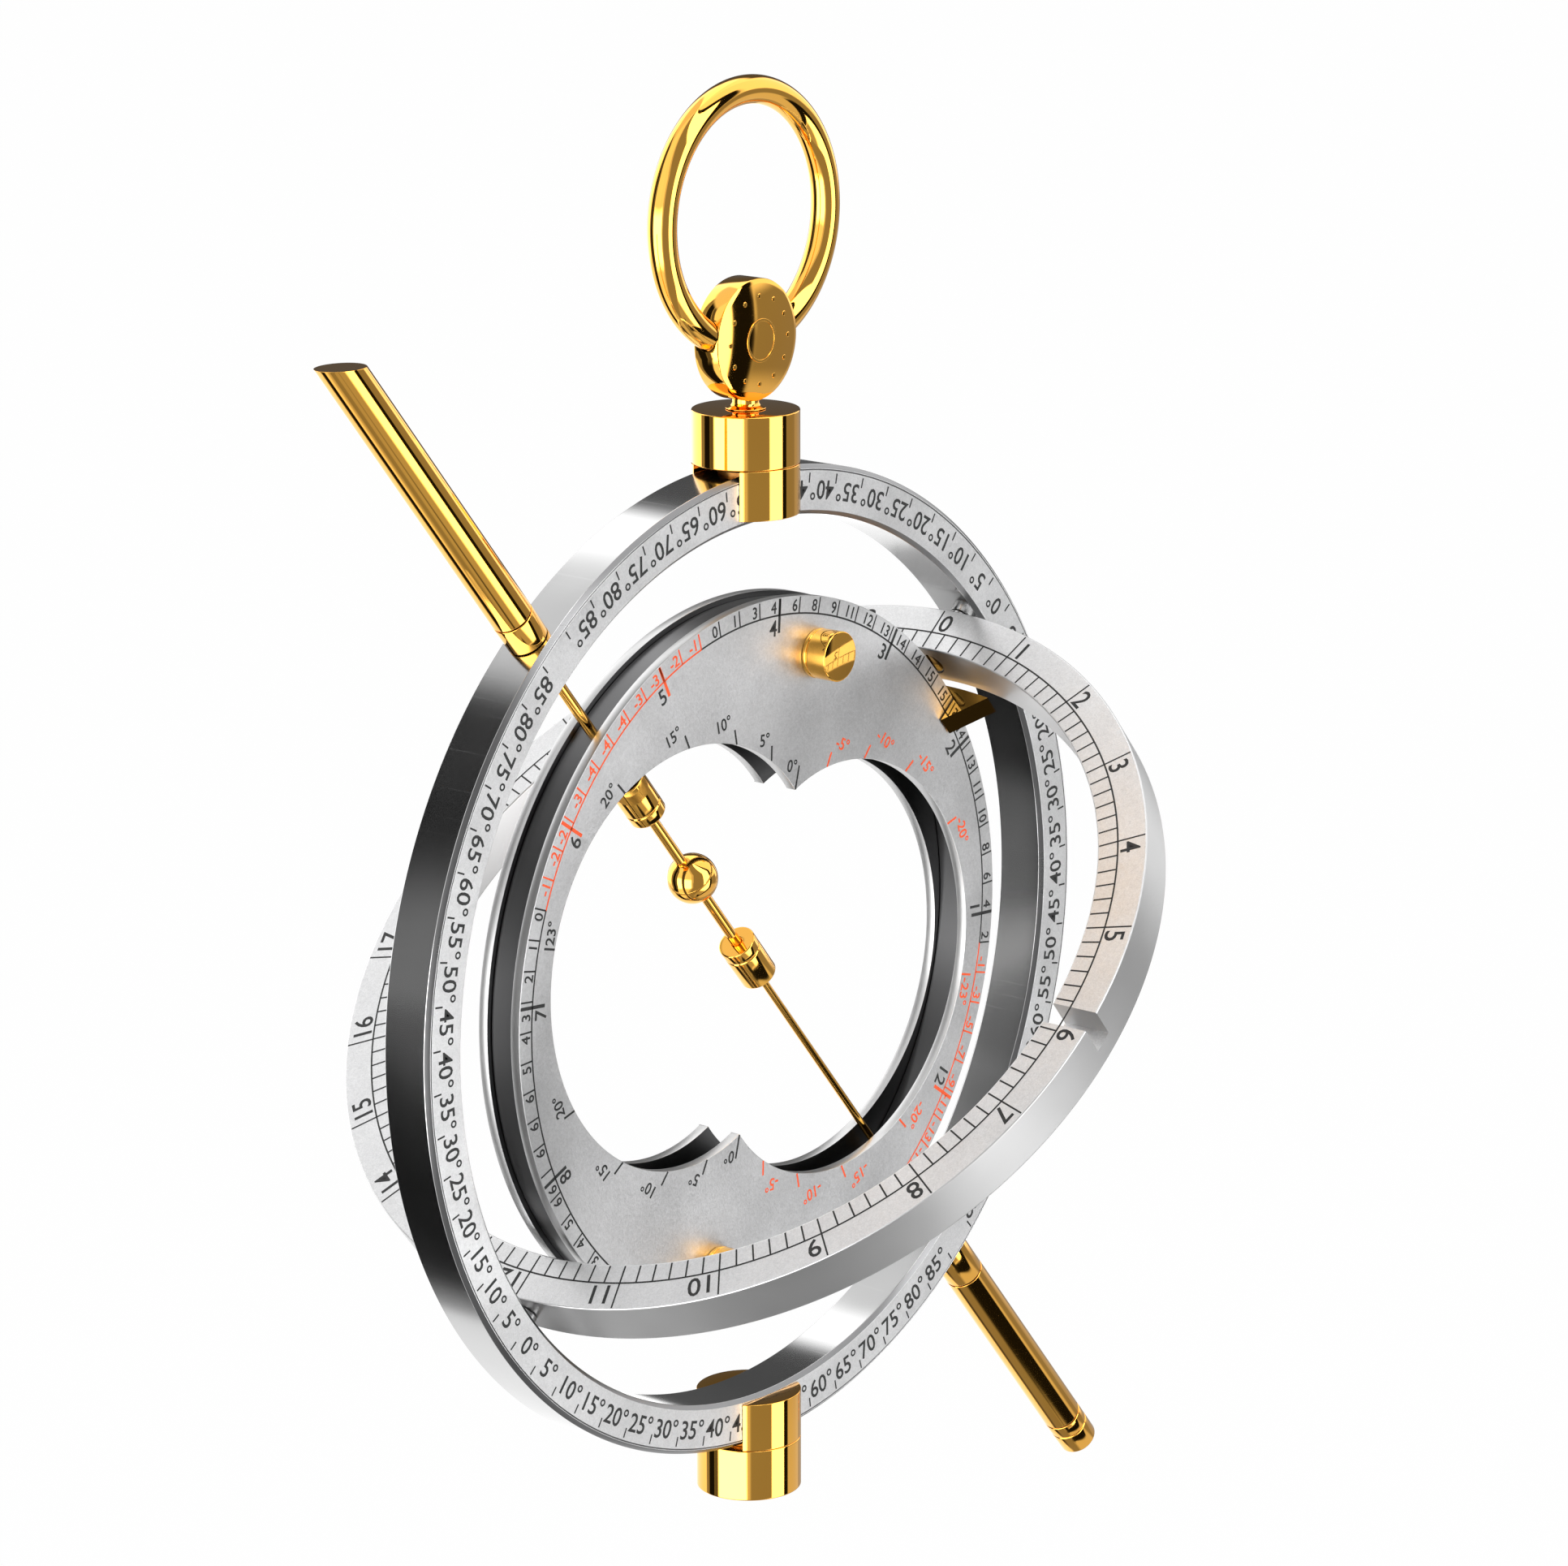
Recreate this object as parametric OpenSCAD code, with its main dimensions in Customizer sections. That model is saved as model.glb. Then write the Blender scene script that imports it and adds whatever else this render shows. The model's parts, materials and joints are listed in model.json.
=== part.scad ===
// Universal equinoctial ring dial with a date disc that sets a bead on the polar wire.
// Millimetres, +Z up. The origin is the hang point, inside the top of the suspension ring.
// The meridian ring stands in the XZ plane with its numbered face towards -Y.

/* [Setting] */
// Latitude that the top slider is set to, in degrees
latitude = 50; // [35:1:65]
// Solar longitude that the date disc is set to, in degrees from the March equinox
sun_longitude = 54.65; // [30:0.05:90]

/* [Meridian ring] */
// Outer diameter of the meridian ring
meridian_d = 90.5; // [84:0.5:110]
// Radial wall of the meridian ring
meridian_wall = 4.5; // [3.6:0.1:5]
// Width of the meridian ring along Y
meridian_w = 5.2; // [4.8:0.1:5.8]
// Bevel on the edges of the meridian ring
meridian_bevel = 0.35; // [0.1:0.05:0.4]
// Distance of the guide groove from the outer edge of the ring's face
groove_inset = 0.6; // [0.6:0.05:1.2]
// Width of the guide groove
groove_w = 0.3; // [0.3:0.02:0.4]
// Depth of the guide groove
groove_depth = 0.35; // [0.3:0.05:0.6]

/* [Hour ring] */
// Radial gap between the meridian ring and the hour ring
hour_gap = 1.05; // [1:0.05:2]
// Radial wall of the hour ring
hour_wall = 4.7; // [4:0.1:6]
// Thickness of the hour ring along the polar axis
hour_t = 4.6; // [4:0.1:5.4]
// Bevel on the edges of the hour ring
hour_bevel = 0.2; // [0.05:0.05:0.4]
// Width of the notch that lets the folded hour ring pass the axle pin
notch_w = 2; // [1.6:0.1:3]

/* [Date disc] */
// Radial gap between the hour ring and the rim of the date disc
disc_gap = 1.6; // [1.4:0.1:2.5]
// Thickness of each date plate
plate_t = 1; // [0.9:0.05:1.6]
// Space between the two date plates
plate_gap = 2.7; // [2.2:0.05:3]
// Depth of the carrier ring below the rim of the plates
carrier_inset = 0.5; // [0.3:0.1:0.8]
// Radial wall of the carrier ring
carrier_wall = 2.9; // [2.7:0.1:3.6]
// Smallest half opening of the cam, at the equinoxes
cam_neck_r = 15.75; // [14:0.05:17]
// Land left between the widest cam opening and the carrier ring
cam_land = 0.4; // [0.3:0.1:1.5]

/* [Knobs] */
// Diameter of a date knob
knob_d = 4.6; // [4:0.1:5]
// Height of a date knob
knob_h = 2.6; // [2:0.1:3.5]
// Distance of the knob axis from the inner wall of the carrier ring
knob_inset = 1.7; // [1.4:0.1:2.4]
// Diameter of a knob stud
knob_stud_d = 1.2; // [1:0.1:1.4]

/* [Polar axle] */
// Diameter of both handles
handle_d = 3.8; // [3.4:0.1:4.6]
// Reach of the upper handle beyond the meridian ring
upper_reach = 34.6; // [25:0.1:45]
// Reach of the lower handle beyond the meridian ring
lower_reach = 34.2; // [25:0.1:45]
// Length of the upper handle's foot
upper_foot_l = 3.1; // [3:0.1:5]
// Length of the lower handle's foot
lower_foot_l = 4.9; // [4:0.1:7]
// Length of the end cap of the lower handle
lower_cap_l = 4.3; // [3.6:0.1:6]
// Diameter of the axle pins between the carrier ring and the feet
pin_d = 1; // [0.9:0.05:1.2]
// Diameter of the handle spigots that turn in the bushes
spigot_d = 2; // [1.8:0.1:2.4]
// Diameter of the polar wire
wire_d = 0.7; // [0.5:0.05:0.74]

/* [Bead shuttle] */
// Diameter of the shadow bead
bead_d = 4.6; // [3.6:0.1:6]
// Diameter of the two stop collars
collar_d = 3.5; // [3.3:0.1:4]
// Length of each stop collar
collar_l = 4.8; // [4:0.1:6]
// Outside diameter of the shuttle tube
tube_d = 1; // [0.95:0.01:1.2]
// Play of the collars at the equinox, each way
shuttle_slack = 1.55; // [1.3:0.05:2.2]
// Gap between the stop collar and the cam as stored
stop_gap = 0.7; // [0.65:0.05:1.2]

/* [Sliders] */
// Diameter of both sliders
slider_d = 9.66; // [9.2:0.02:11]
// Height of a slider cap
cap_h = 4.8; // [4.8:0.1:7]
// Gap between the ring's rim and the slider cap
rim_gap = 0.4; // [0.4:0.1:1]
// Distance between the jaws' ends and the ring's inner edge
jaw_inset = 0.4; // [0.1:0.1:1]
// Wall above the swivel chamber
swivel_wall = 1.3; // [1:0.1:1.5]
// Diameter of the jaw screws
screw_d = 1; // [0.8:0.1:1.1]

/* [Suspension] */
// Diameter of the bail disc
bail_d = 10.9; // [10:0.1:13]
// Thickness of the bail disc
bail_t = 3.8; // [3.6:0.1:5]
// Height of the bail's neck above the slider
bail_neck_h = 0.8; // [0.6:0.1:2]
// Diameter of the swivel stud
stud_d = 1.6; // [1.4:0.1:2]
// Inner diameter of the suspension ring
hoop_in_d = 19.7; // [18:0.1:26]
// Wire diameter of the suspension ring
hoop_wire_d = 2.6; // [2.2:0.1:2.8]

/* [Hidden] */
$fn = 96;

// Facets of the wide rings
ring_fn = 180;

// Clearances: a piece that turns or slides, a piece that is fixed, and a cut that runs past a face
run = 0.05;
fit = 0.02;
past = 1;

// Tilt of the Earth's axis, which sets the cam's law
obliquity = 23.44;

// Radii outwards from the disc's centre
meridian_r = meridian_d / 2;
meridian_in_r = meridian_r - meridian_wall;
groove_r = meridian_r - groove_inset;
hour_r = meridian_in_r - hour_gap;
hour_in_r = hour_r - hour_wall;
disc_r = hour_in_r - disc_gap;
carrier_r = disc_r - carrier_inset;
carrier_in_r = carrier_r - carrier_wall;
cam_wide_r = carrier_in_r - cam_land;
cam_lift = (cam_wide_r - cam_neck_r) / tan(obliquity);
knob_r = carrier_in_r - knob_inset;

// Heights outwards from the disc's middle plane
plate_y = plate_gap / 2;
face_y = plate_y + plate_t;
carrier_y = plate_y - run;
shoe_y = wire_d / 2 + 2 * run;
shoe_t = 0.4;
lip_y = shoe_y + shoe_t + run;
lip_depth = 0.9;
shoe_w = 2;
shoe_tail = 1.1;
knob_groove_at = 0.45;

// Angle of the date disc's equinox line from the hour-0 direction, towards the upper pole
equinox_angle = 90 - sun_longitude;

// Spigots under the plates that centre them in the carrier ring
spigot_arc = 50;
spigot_gap = 9;
spigot_wall = 0.9;

// Axle ends
foot_base = meridian_r + 2 * run;
spigot_end = meridian_in_r - 2 * run;
bush_wall = 0.6;
bush_r = spigot_d / 2 + run + bush_wall;
tenon_d = 2.2;
tenon_l = 3;
seam = 0.15;
seat_l = 0.8;
pin_depth = 2.4;
rim_groove_depth = 0.12;
cap_groove_at = 1.7;

// Hour ring pivots
pivot_d = 1.6;
pivot_tip_d = 1.2;
pivot_tip_l = 2.4;
pivot_head_d = 2.5;
pivot_head_h = 1;
pivot_slot_w = 0.3;
pivot_slot_depth = 0.4;
pivot_washer_d = 2.3;

// Shuttle
collar_groove_at = 1.2;
collar_end = cam_neck_r - shuttle_slack;
bead_at = cam_radius(sun_longitude) - stop_gap - collar_end;
wire_seat_r = carrier_in_r + lip_depth + seat_l;

// Hour index, below the hour ring
index_t = 2;
index_play = 0.15;
index_drop = hour_t / 2 + 4 * run;
index_inset = 2.7;
index_slope = 46;
index_slot = face_y + index_play;
index_slot_r = disc_r + index_play;
index_r = sqrt(pow(hour_in_r - index_play, 2) - pow(index_drop + index_t, 2));
index_tongue_l = 0.8;
index_screw_d = 0.8;
index_screw_depth = 1.5;
index_screw_z = -index_drop - index_t / 2;
index_head_x = disc_r + 0.55;
index_head_room_d = index_screw_d + 0.6;
index_head_d = index_screw_d + 0.5;
index_head_end = index_head_x + 0.35;

// Sliders, measured outwards from the ring's centre
slider_r = slider_d / 2;
seam_r = meridian_r + rim_gap;
cap_top = seam_r + cap_h;
slot_half = meridian_w / 2 + run;
jaw_end = meridian_in_r + jaw_inset;
screw_y = (slot_half + slider_r) / 2;
screw_wall = 0.4;
pad_room_r = screw_y - screw_d / 2 - screw_wall;
pad_room_h = 1.8;
nut_room_step = 0.4;
nut_room_r = pad_room_r - nut_room_step;
spring_t = 0.25;
pad_r = slot_half - run;
pad_gap = 0.9;
lip_root = 0.5;
lip_inset = 1.4;
screw_head_d = screw_d + 0.6;
screw_head_h = 0.7;
screw_slot_w = 0.2;
screw_slot_depth = 0.25;
edge_bevel = 0.15;

// Suspension, measured up from the ring's centre
bail_z = cap_top + bail_neck_h + bail_d / 2;
hoop_r = (hoop_in_d + hoop_wire_d) / 2;
wire_drop = 0.4;
hoop_z = bail_z - wire_drop + hoop_r;
hang_drop = hoop_z + hoop_in_d / 2;
washer_t = 0.3;
nut_h = 1.1;
washer_top = cap_top - swivel_wall - run;
nut_top = washer_top - washer_t - fit;
bail_foot_d = 3.65;
bail_waist_d = 2.4;

// Sun's declination at a solar longitude, without its sign
function declination(longitude) = asin(sin(obliquity) * abs(sin(longitude)));

// Half opening of the cam at a solar longitude
function cam_radius(longitude) = cam_neck_r + cam_lift * tan(declination(longitude));

// Corners of a rectangle with bevelled corners
function bevelled(x0, x1, y0, y1, c) = [
    [x0 + c, y0], [x1 - c, y0], [x1, y0 + c], [x1, y1 - c],
    [x1 - c, y1], [x0 + c, y1], [x0, y1 - c], [x0, y0 + c]
];

// Frame at the centre of the meridian ring
module at_centre() {
    translate([0, 0, -hang_drop]) children();
}

// Frame with Z along the upper pole and X towards hour 0
module polar() {
    at_centre() rotate([0, latitude - 90, 0]) children();
}

// Frame of the date disc: X towards hour 0, Y along the upper pole, Z towards the front
module disc_frame() {
    polar() rotate([90, 0, 0]) children();
}

// The same piece at both ends of the polar axis
module both_poles() {
    for (end = [0, 1]) mirror([0, 0, end]) children();
}

// The same piece on both faces of the disc or ring
module both_faces() {
    for (face = [0, 1]) mirror([0, 0, face]) children();
}

// A piece along the hour-0 axis and the same at hour 12
module both_pivots() {
    polar() for (end = [0, 1]) mirror([end, 0, 0]) rotate([0, 90, 0]) children();
}

// Flat ring from inner to outer radius, from height z0 to z1
module flat_ring(r_in, r_out, z0, z1) {
    translate([0, 0, z0]) difference() {
        cylinder(r = r_out, h = z1 - z0, $fn = ring_fn);
        translate([0, 0, -past]) cylinder(r = r_in, h = z1 - z0 + 2 * past, $fn = ring_fn);
    }
}

// Rod of one diameter between two heights
module rod(d, z0, z1) {
    translate([0, 0, z0]) cylinder(d = d, h = z1 - z0);
}

// Cylinder with its axis along Y, for a cut round the disc or the meridian ring
module across_disc(r, h) {
    rotate([90, 0, 0]) cylinder(r = r, h = h, center = true, $fn = ring_fn);
}

// Turned rod with bevelled ends
module bevelled_rod(d, z0, z1, c) {
    rotate_extrude() polygon([
        [0, z0], [d / 2 - c, z0], [d / 2, z0 + c],
        [d / 2, z1 - c], [d / 2 - c, z1], [0, z1]
    ]);
}

// Fine groove turned round a rod
module rim_groove(d, z) {
    flat_ring(d / 2 - rim_groove_depth, d / 2 + past, z - seam / 2, z + seam / 2);
}

module suspension_ring() {
    color("gold") at_centre() translate([0, 0, hoop_z]) rotate([90, 0, 0])
        rotate_extrude($fn = ring_fn) translate([hoop_r, 0]) circle(d = hoop_wire_d);
}

module bail_disc() {
    neck_z = cap_top + run;
    waist_z = cap_top + bail_neck_h / 2 + run;
    color("gold") at_centre() difference() {
        union() {
            translate([0, 0, bail_z]) rotate([90, 0, 0])
                bevelled_rod(bail_d, -bail_t / 2, bail_t / 2, edge_bevel);
            rotate_extrude() polygon([
                [0, neck_z], [bail_foot_d / 2, neck_z], [bail_waist_d / 2, waist_z],
                [bail_waist_d / 2, bail_z - bail_d / 2 + past], [0, bail_z - bail_d / 2 + past]
            ]);
            rod(stud_d, nut_top - nut_h - run, neck_z + run);
        }
        translate([0, 0, hoop_z]) rotate([90, 0, 0])
            rotate_extrude($fn = ring_fn) translate([hoop_r, 0]) circle(d = hoop_wire_d + 2 * run);
    }
}

module swivel_washer() {
    color("gold") at_centre()
        flat_ring(stud_d / 2 + fit, nut_room_r - 4 * run, washer_top - washer_t, washer_top);
}

module swivel_nut() {
    color("gold") at_centre() translate([0, 0, nut_top - nut_h]) difference() {
        cylinder(r = nut_room_r - 6 * run, h = nut_h, $fn = 6);
        translate([0, 0, -past]) cylinder(d = stud_d + 2 * fit, h = nut_h + 2 * past);
    }
}

// Cap of a slider, with the chambers for pad and spring, and for the swivel nut
module slider_cap(swivel) {
    color("gold") difference() {
        bevelled_rod(slider_d, seam_r, cap_top, edge_bevel);
        rod(2 * pad_room_r, seam_r - past, seam_r + pad_room_h);
        if (swivel) {
            rod(2 * nut_room_r, seam_r, cap_top - swivel_wall);
            rod(stud_d + 2 * run, seam_r, cap_top + past);
        }
        for (side = [-1, 1]) translate([0, side * screw_y, 0])
            rod(screw_d + 2 * fit, seam_r - past, seam_r + pad_room_h + fit);
    }
}

// The two jaws of a slider, with lips that run in the ring's guide grooves
module slider_jaws() {
    lip_half_w = groove_w / 2 - run;
    lip_end = meridian_w / 2 - groove_depth + 2 * run;
    lip_l = 2 * (slider_r - lip_inset);
    color("gold") for (side = [0, 1]) mirror([0, side, 0]) difference() {
        union() {
            intersection() {
                bevelled_rod(slider_d, jaw_end, seam_r - fit, edge_bevel / 2);
                translate([-slider_d, slot_half, jaw_end - past])
                    cube([2 * slider_d, slider_d, seam_r - jaw_end + 2 * past]);
            }
            intersection() {
                rotate([-90, 0, 0])
                    flat_ring(groove_r - lip_half_w, groove_r + lip_half_w, lip_end, slot_half + lip_root);
                translate([-lip_l / 2, 0, 0]) cube([lip_l, slider_d, cap_top]);
            }
        }
        translate([0, screw_y, 0]) {
            rod(screw_d + 2 * fit, jaw_end - past, seam_r + past);
            rod(screw_head_d + 2 * fit, jaw_end - past, jaw_end + screw_head_h);
        }
    }
}

module slider_screws() {
    head_z = jaw_end + 2 * run;
    color("gold") for (side = [-1, 1]) translate([0, side * screw_y, 0]) difference() {
        union() {
            rod(screw_d, head_z, seam_r + pad_room_h - fit);
            rod(screw_head_d, head_z, jaw_end + screw_head_h - fit);
        }
        translate([-screw_d, -screw_slot_w / 2, head_z - past])
            cube([2 * screw_d, screw_slot_w, past + screw_slot_depth]);
    }
}

// Pad that grips the rim of the meridian ring
module slider_pad() {
    color("darkgoldenrod") difference() {
        rod(2 * pad_r, meridian_r - past, seam_r + pad_gap);
        across_disc(meridian_r + run, 2 * slider_d);
    }
}

// Cone spring between the pad and the shoulder in the cap
module slider_spring() {
    top = seam_r + pad_room_h - fit;
    low = seam_r + pad_gap + fit;
    outer = pad_room_r - run;
    inner = nut_room_r / 2;
    color("lightgray") rotate_extrude() polygon([
        [inner, low], [inner + spring_t, low], [outer, top - spring_t],
        [outer, top], [outer - spring_t, top], [inner, low + spring_t]
    ]);
}

module top_slider_cap() { at_centre() slider_cap(true); }
module top_slider_jaws() { at_centre() slider_jaws(); }
module top_slider_screws() { at_centre() slider_screws(); }
module top_slider_pad() { at_centre() slider_pad(); }
module top_slider_spring() { at_centre() slider_spring(); }
module bottom_slider_cap() { at_centre() rotate([180, 0, 0]) slider_cap(false); }
module bottom_slider_jaws() { at_centre() rotate([180, 0, 0]) slider_jaws(); }
module bottom_slider_screws() { at_centre() rotate([180, 0, 0]) slider_screws(); }
module bottom_slider_pad() { at_centre() rotate([180, 0, 0]) slider_pad(); }
module bottom_slider_spring() { at_centre() rotate([180, 0, 0]) slider_spring(); }

module meridian_ring() {
    half_w = meridian_w / 2;
    color("silver") difference() {
        disc_frame() rotate_extrude($fn = ring_fn)
            polygon(bevelled(meridian_in_r, meridian_r, -half_w, half_w, meridian_bevel));
        disc_frame() both_faces() flat_ring(
            groove_r - groove_w / 2, groove_r + groove_w / 2, half_w - groove_depth, half_w + past);
        polar() both_poles() rod(2 * bush_r, meridian_in_r - past, meridian_r + past);
        both_pivots() rod(pivot_tip_d + 2 * fit, meridian_in_r - past, meridian_in_r + pivot_tip_l + fit);
    }
}

module axle_bushes() {
    color("goldenrod") polar() both_poles()
        flat_ring(spigot_d / 2 + run, bush_r - fit, meridian_in_r + run, meridian_r - run);
}

module hour_pivot_screws() {
    head_z = hour_in_r + 2 * run;
    color("silver") both_pivots() difference() {
        union() {
            rod(pivot_head_d, head_z, head_z + pivot_head_h);
            rod(pivot_d, head_z, meridian_in_r - 2 * run);
            rod(pivot_tip_d, head_z, meridian_in_r + pivot_tip_l - fit);
        }
        translate([-pivot_head_d, -pivot_slot_w / 2, head_z - past])
            cube([2 * pivot_head_d, pivot_slot_w, past + pivot_slot_depth]);
    }
}

module hour_pivot_washers() {
    color("silver") both_pivots()
        flat_ring(pivot_d / 2 + fit, pivot_washer_d / 2, hour_r + run, meridian_in_r - run);
}

module hour_ring() {
    half_t = hour_t / 2;
    notch_floor = pin_d / 2 + 2 * run;
    color("silver") difference() {
        polar() rotate_extrude($fn = ring_fn)
            polygon(bevelled(hour_in_r, hour_r, -half_t, half_t, hour_bevel));
        polar() for (side = [0, 180]) rotate([side, 0, 0])
            translate([-notch_w / 2, -hour_r - past, -notch_floor])
                cube([notch_w, hour_wall + 2 * past, notch_floor + hour_t]);
        both_pivots() {
            rod(pivot_d + 2 * run, hour_in_r - past, hour_r + past);
            rod(pivot_head_d + 4 * run, hour_in_r - past, hour_in_r + pivot_head_h + 4 * run);
        }
    }
}

module carrier_ring() {
    color("dimgray") difference() {
        disc_frame() flat_ring(carrier_in_r, carrier_r, -carrier_y, carrier_y);
        disc_frame() flat_ring(carrier_in_r - past, carrier_in_r + lip_depth, -lip_y, lip_y);
        polar() both_poles() {
            rod(pin_d + 2 * fit, carrier_r - seat_l, carrier_r + past);
            rod(wire_d + 2 * fit, carrier_in_r - past, wire_seat_r);
        }
        polar() translate([0, 0, index_screw_z]) rotate([0, 90, 0])
            rod(index_screw_d + 2 * fit, carrier_r - index_screw_depth - fit, carrier_r + past);
    }
}

module axle_pins() {
    color("gold") polar() both_poles() rod(pin_d, carrier_r - seat_l + fit, spigot_end + pin_depth - fit);
}

module polar_wire() {
    color("gold") polar() rod(wire_d, -wire_seat_r + fit, wire_seat_r - fit);
}

// Foot that carries a handle: a spigot turns in the bush, a tenon holds the handle
module handle_foot(foot_l) {
    shoulder = meridian_r + foot_l - seam / 2;
    color("gold") difference() {
        union() {
            bevelled_rod(handle_d, foot_base, shoulder, edge_bevel / 2);
            rod(spigot_d, spigot_end, foot_base + past);
            rod(tenon_d, shoulder - past, shoulder + tenon_l);
        }
        rod(pin_d + 2 * fit, spigot_end - past, spigot_end + pin_depth);
    }
}

module upper_handle_foot() { polar() handle_foot(upper_foot_l); }
module lower_handle_foot() { polar() mirror([0, 0, 1]) handle_foot(lower_foot_l); }

// Upper handle, cut level at its top end
module upper_handle() {
    start = meridian_r + upper_foot_l + seam / 2;
    end = meridian_r + upper_reach;
    slope = handle_d / 2 / tan(latitude);
    color("gold") difference() {
        polar() difference() {
            rod(handle_d, start, end + slope + past);
            rod(tenon_d + 2 * fit, start - past, start + tenon_l);
        }
        at_centre() translate([-meridian_d, -handle_d, end * sin(latitude)])
            cube([meridian_d, 2 * handle_d, upper_reach]);
    }
}

// Lower handle with the bore for the foot's tenon and the tenon for its end cap
module lower_handle() {
    start = meridian_r + lower_foot_l + seam / 2;
    end = meridian_r + lower_reach - lower_cap_l - seam / 2;
    color("gold") polar() mirror([0, 0, 1]) difference() {
        union() {
            rod(handle_d, start, end);
            rod(tenon_d, end - past, end + tenon_l);
        }
        rod(tenon_d + 2 * fit, start - past, start + tenon_l);
    }
}

module lower_handle_cap() {
    start = meridian_r + lower_reach - lower_cap_l + seam / 2;
    color("gold") polar() mirror([0, 0, 1]) difference() {
        bevelled_rod(handle_d, start, meridian_r + lower_reach, edge_bevel);
        rod(tenon_d + 2 * fit, start - past, start + tenon_l);
        rim_groove(handle_d, start + cap_groove_at);
    }
}

// Slanted plan of the hour index, a fork round the disc's rim, with both prongs in one
module index_plan() {
    heel = disc_r - index_inset;
    reach = hour_in_r - heel;
    intersection() {
        circle(r = index_r, $fn = ring_fn);
        polygon([
            [heel, -index_slot], [heel + reach, -index_slot - reach * tan(index_slope)],
            [heel + reach, index_slot + reach * tan(index_slope)], [heel, index_slot]
        ]);
    }
}

module hour_index() {
    tongue_half = plate_y - 4 * run;
    color("gold") polar() difference() {
        union() {
            difference() {
                translate([0, 0, -index_drop - index_t]) linear_extrude(height = index_t) index_plan();
                across_disc(index_slot_r, 2 * index_slot);
            }
            difference() {
                translate([carrier_r - past, -tongue_half, -index_drop - index_t])
                    cube([past + index_tongue_l, 2 * tongue_half, index_t]);
                across_disc(carrier_r + fit, hour_t);
            }
        }
        translate([0, 0, index_screw_z]) rotate([0, 90, 0]) {
            rod(index_screw_d + 2 * fit, carrier_r - past, hour_in_r);
            rod(index_head_room_d, index_head_x, hour_in_r);
        }
    }
}

module index_screw() {
    color("gold") polar() translate([0, 0, index_screw_z]) rotate([0, 90, 0]) {
        rod(index_screw_d, carrier_r - index_screw_depth, index_head_x + fit);
        rod(index_head_d, index_head_x + fit, index_head_end);
    }
}

// Outline of the cam opening, once round the year
module cam_outline() {
    polygon([for (longitude = [0:3:357])
        cam_radius(longitude) * [cos(longitude + equinox_angle), sin(longitude + equinox_angle)]]);
}

// Wedge of the plate about the equinox line, from the disc's centre
module sector(half_angle) {
    reach = disc_r / cos(half_angle / 2);
    for (end = [0, 180]) rotate(equinox_angle + end) polygon([
        [0, 0],
        for (turn = [-1, -0.5, 0, 0.5, 1]) reach * [cos(turn * half_angle), sin(turn * half_angle)]
    ]);
}

// Date plate with its centring spigots and knob holes, for the front face
module date_plate() {
    spigot_r = carrier_in_r - 2 * run;
    color("lightgray") difference() {
        union() {
            translate([0, 0, plate_y]) linear_extrude(height = plate_t) difference() {
                circle(r = disc_r, $fn = ring_fn);
                cam_outline();
            }
            intersection() {
                flat_ring(spigot_r - spigot_wall, spigot_r, shoe_y, plate_y + plate_t / 2);
                linear_extrude(height = face_y) difference() {
                    sector(spigot_arc);
                    sector(spigot_gap);
                }
            }
        }
        at_knobs() rod(knob_stud_d + 2 * fit, -past, face_y + past);
    }
}

// Both knob places on the equinox line
module at_knobs() {
    for (end = [0, 180]) rotate([0, 0, equinox_angle + end]) translate([knob_r, 0, 0]) children();
}

module date_knobs() {
    base = face_y + fit;
    color("gold") at_knobs() difference() {
        union() {
            bevelled_rod(knob_d, base, base + knob_h, edge_bevel);
            rod(knob_stud_d, shoe_y, base + past);
        }
        rim_groove(knob_d, base + knob_groove_at);
    }
}

// Clamp shoes on the knob studs, which reach under the lip of the carrier ring
module clamp_shoes() {
    color("goldenrod") at_knobs() difference() {
        intersection() {
            translate([-shoe_tail, -shoe_w / 2, shoe_y]) cube([carrier_r - knob_r, shoe_w, shoe_t]);
            translate([-knob_r, 0, 0]) rod(2 * (carrier_in_r + lip_depth - 2 * run), 0, plate_y);
        }
        rod(knob_stud_d + 2 * fit, -past, face_y);
    }
}

module front_date_plate() { disc_frame() date_plate(); }
module front_knobs() { disc_frame() date_knobs(); }
module front_clamp_shoes() { disc_frame() clamp_shoes(); }
module rear_date_plate() { disc_frame() mirror([0, 0, 1]) date_plate(); }
module rear_knobs() { disc_frame() mirror([0, 0, 1]) date_knobs(); }
module rear_clamp_shoes() { disc_frame() mirror([0, 0, 1]) clamp_shoes(); }

// Frame of the shuttle, with the bead at its centre
module shuttle_frame() {
    polar() translate([0, 0, bead_at]) children();
}

module shuttle_tube() {
    color("gold") shuttle_frame() difference() {
        rod(tube_d, -collar_end, collar_end);
        rod(wire_d + 2 * run, -collar_end - past, collar_end + past);
    }
}

module shadow_bead() {
    color("gold") shuttle_frame() difference() {
        sphere(d = bead_d);
        rod(tube_d + 2 * fit, -bead_d, bead_d);
    }
}

// Stop collar, with its fine groove towards the bead
module stop_collar() {
    color("gold") difference() {
        bevelled_rod(collar_d, collar_end - collar_l, collar_end, edge_bevel);
        rim_groove(collar_d, collar_end - collar_l + collar_groove_at);
        rod(tube_d + 2 * fit, 0, collar_end + past);
    }
}

module upper_collar() { shuttle_frame() stop_collar(); }
module lower_collar() { shuttle_frame() mirror([0, 0, 1]) stop_collar(); }

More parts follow.
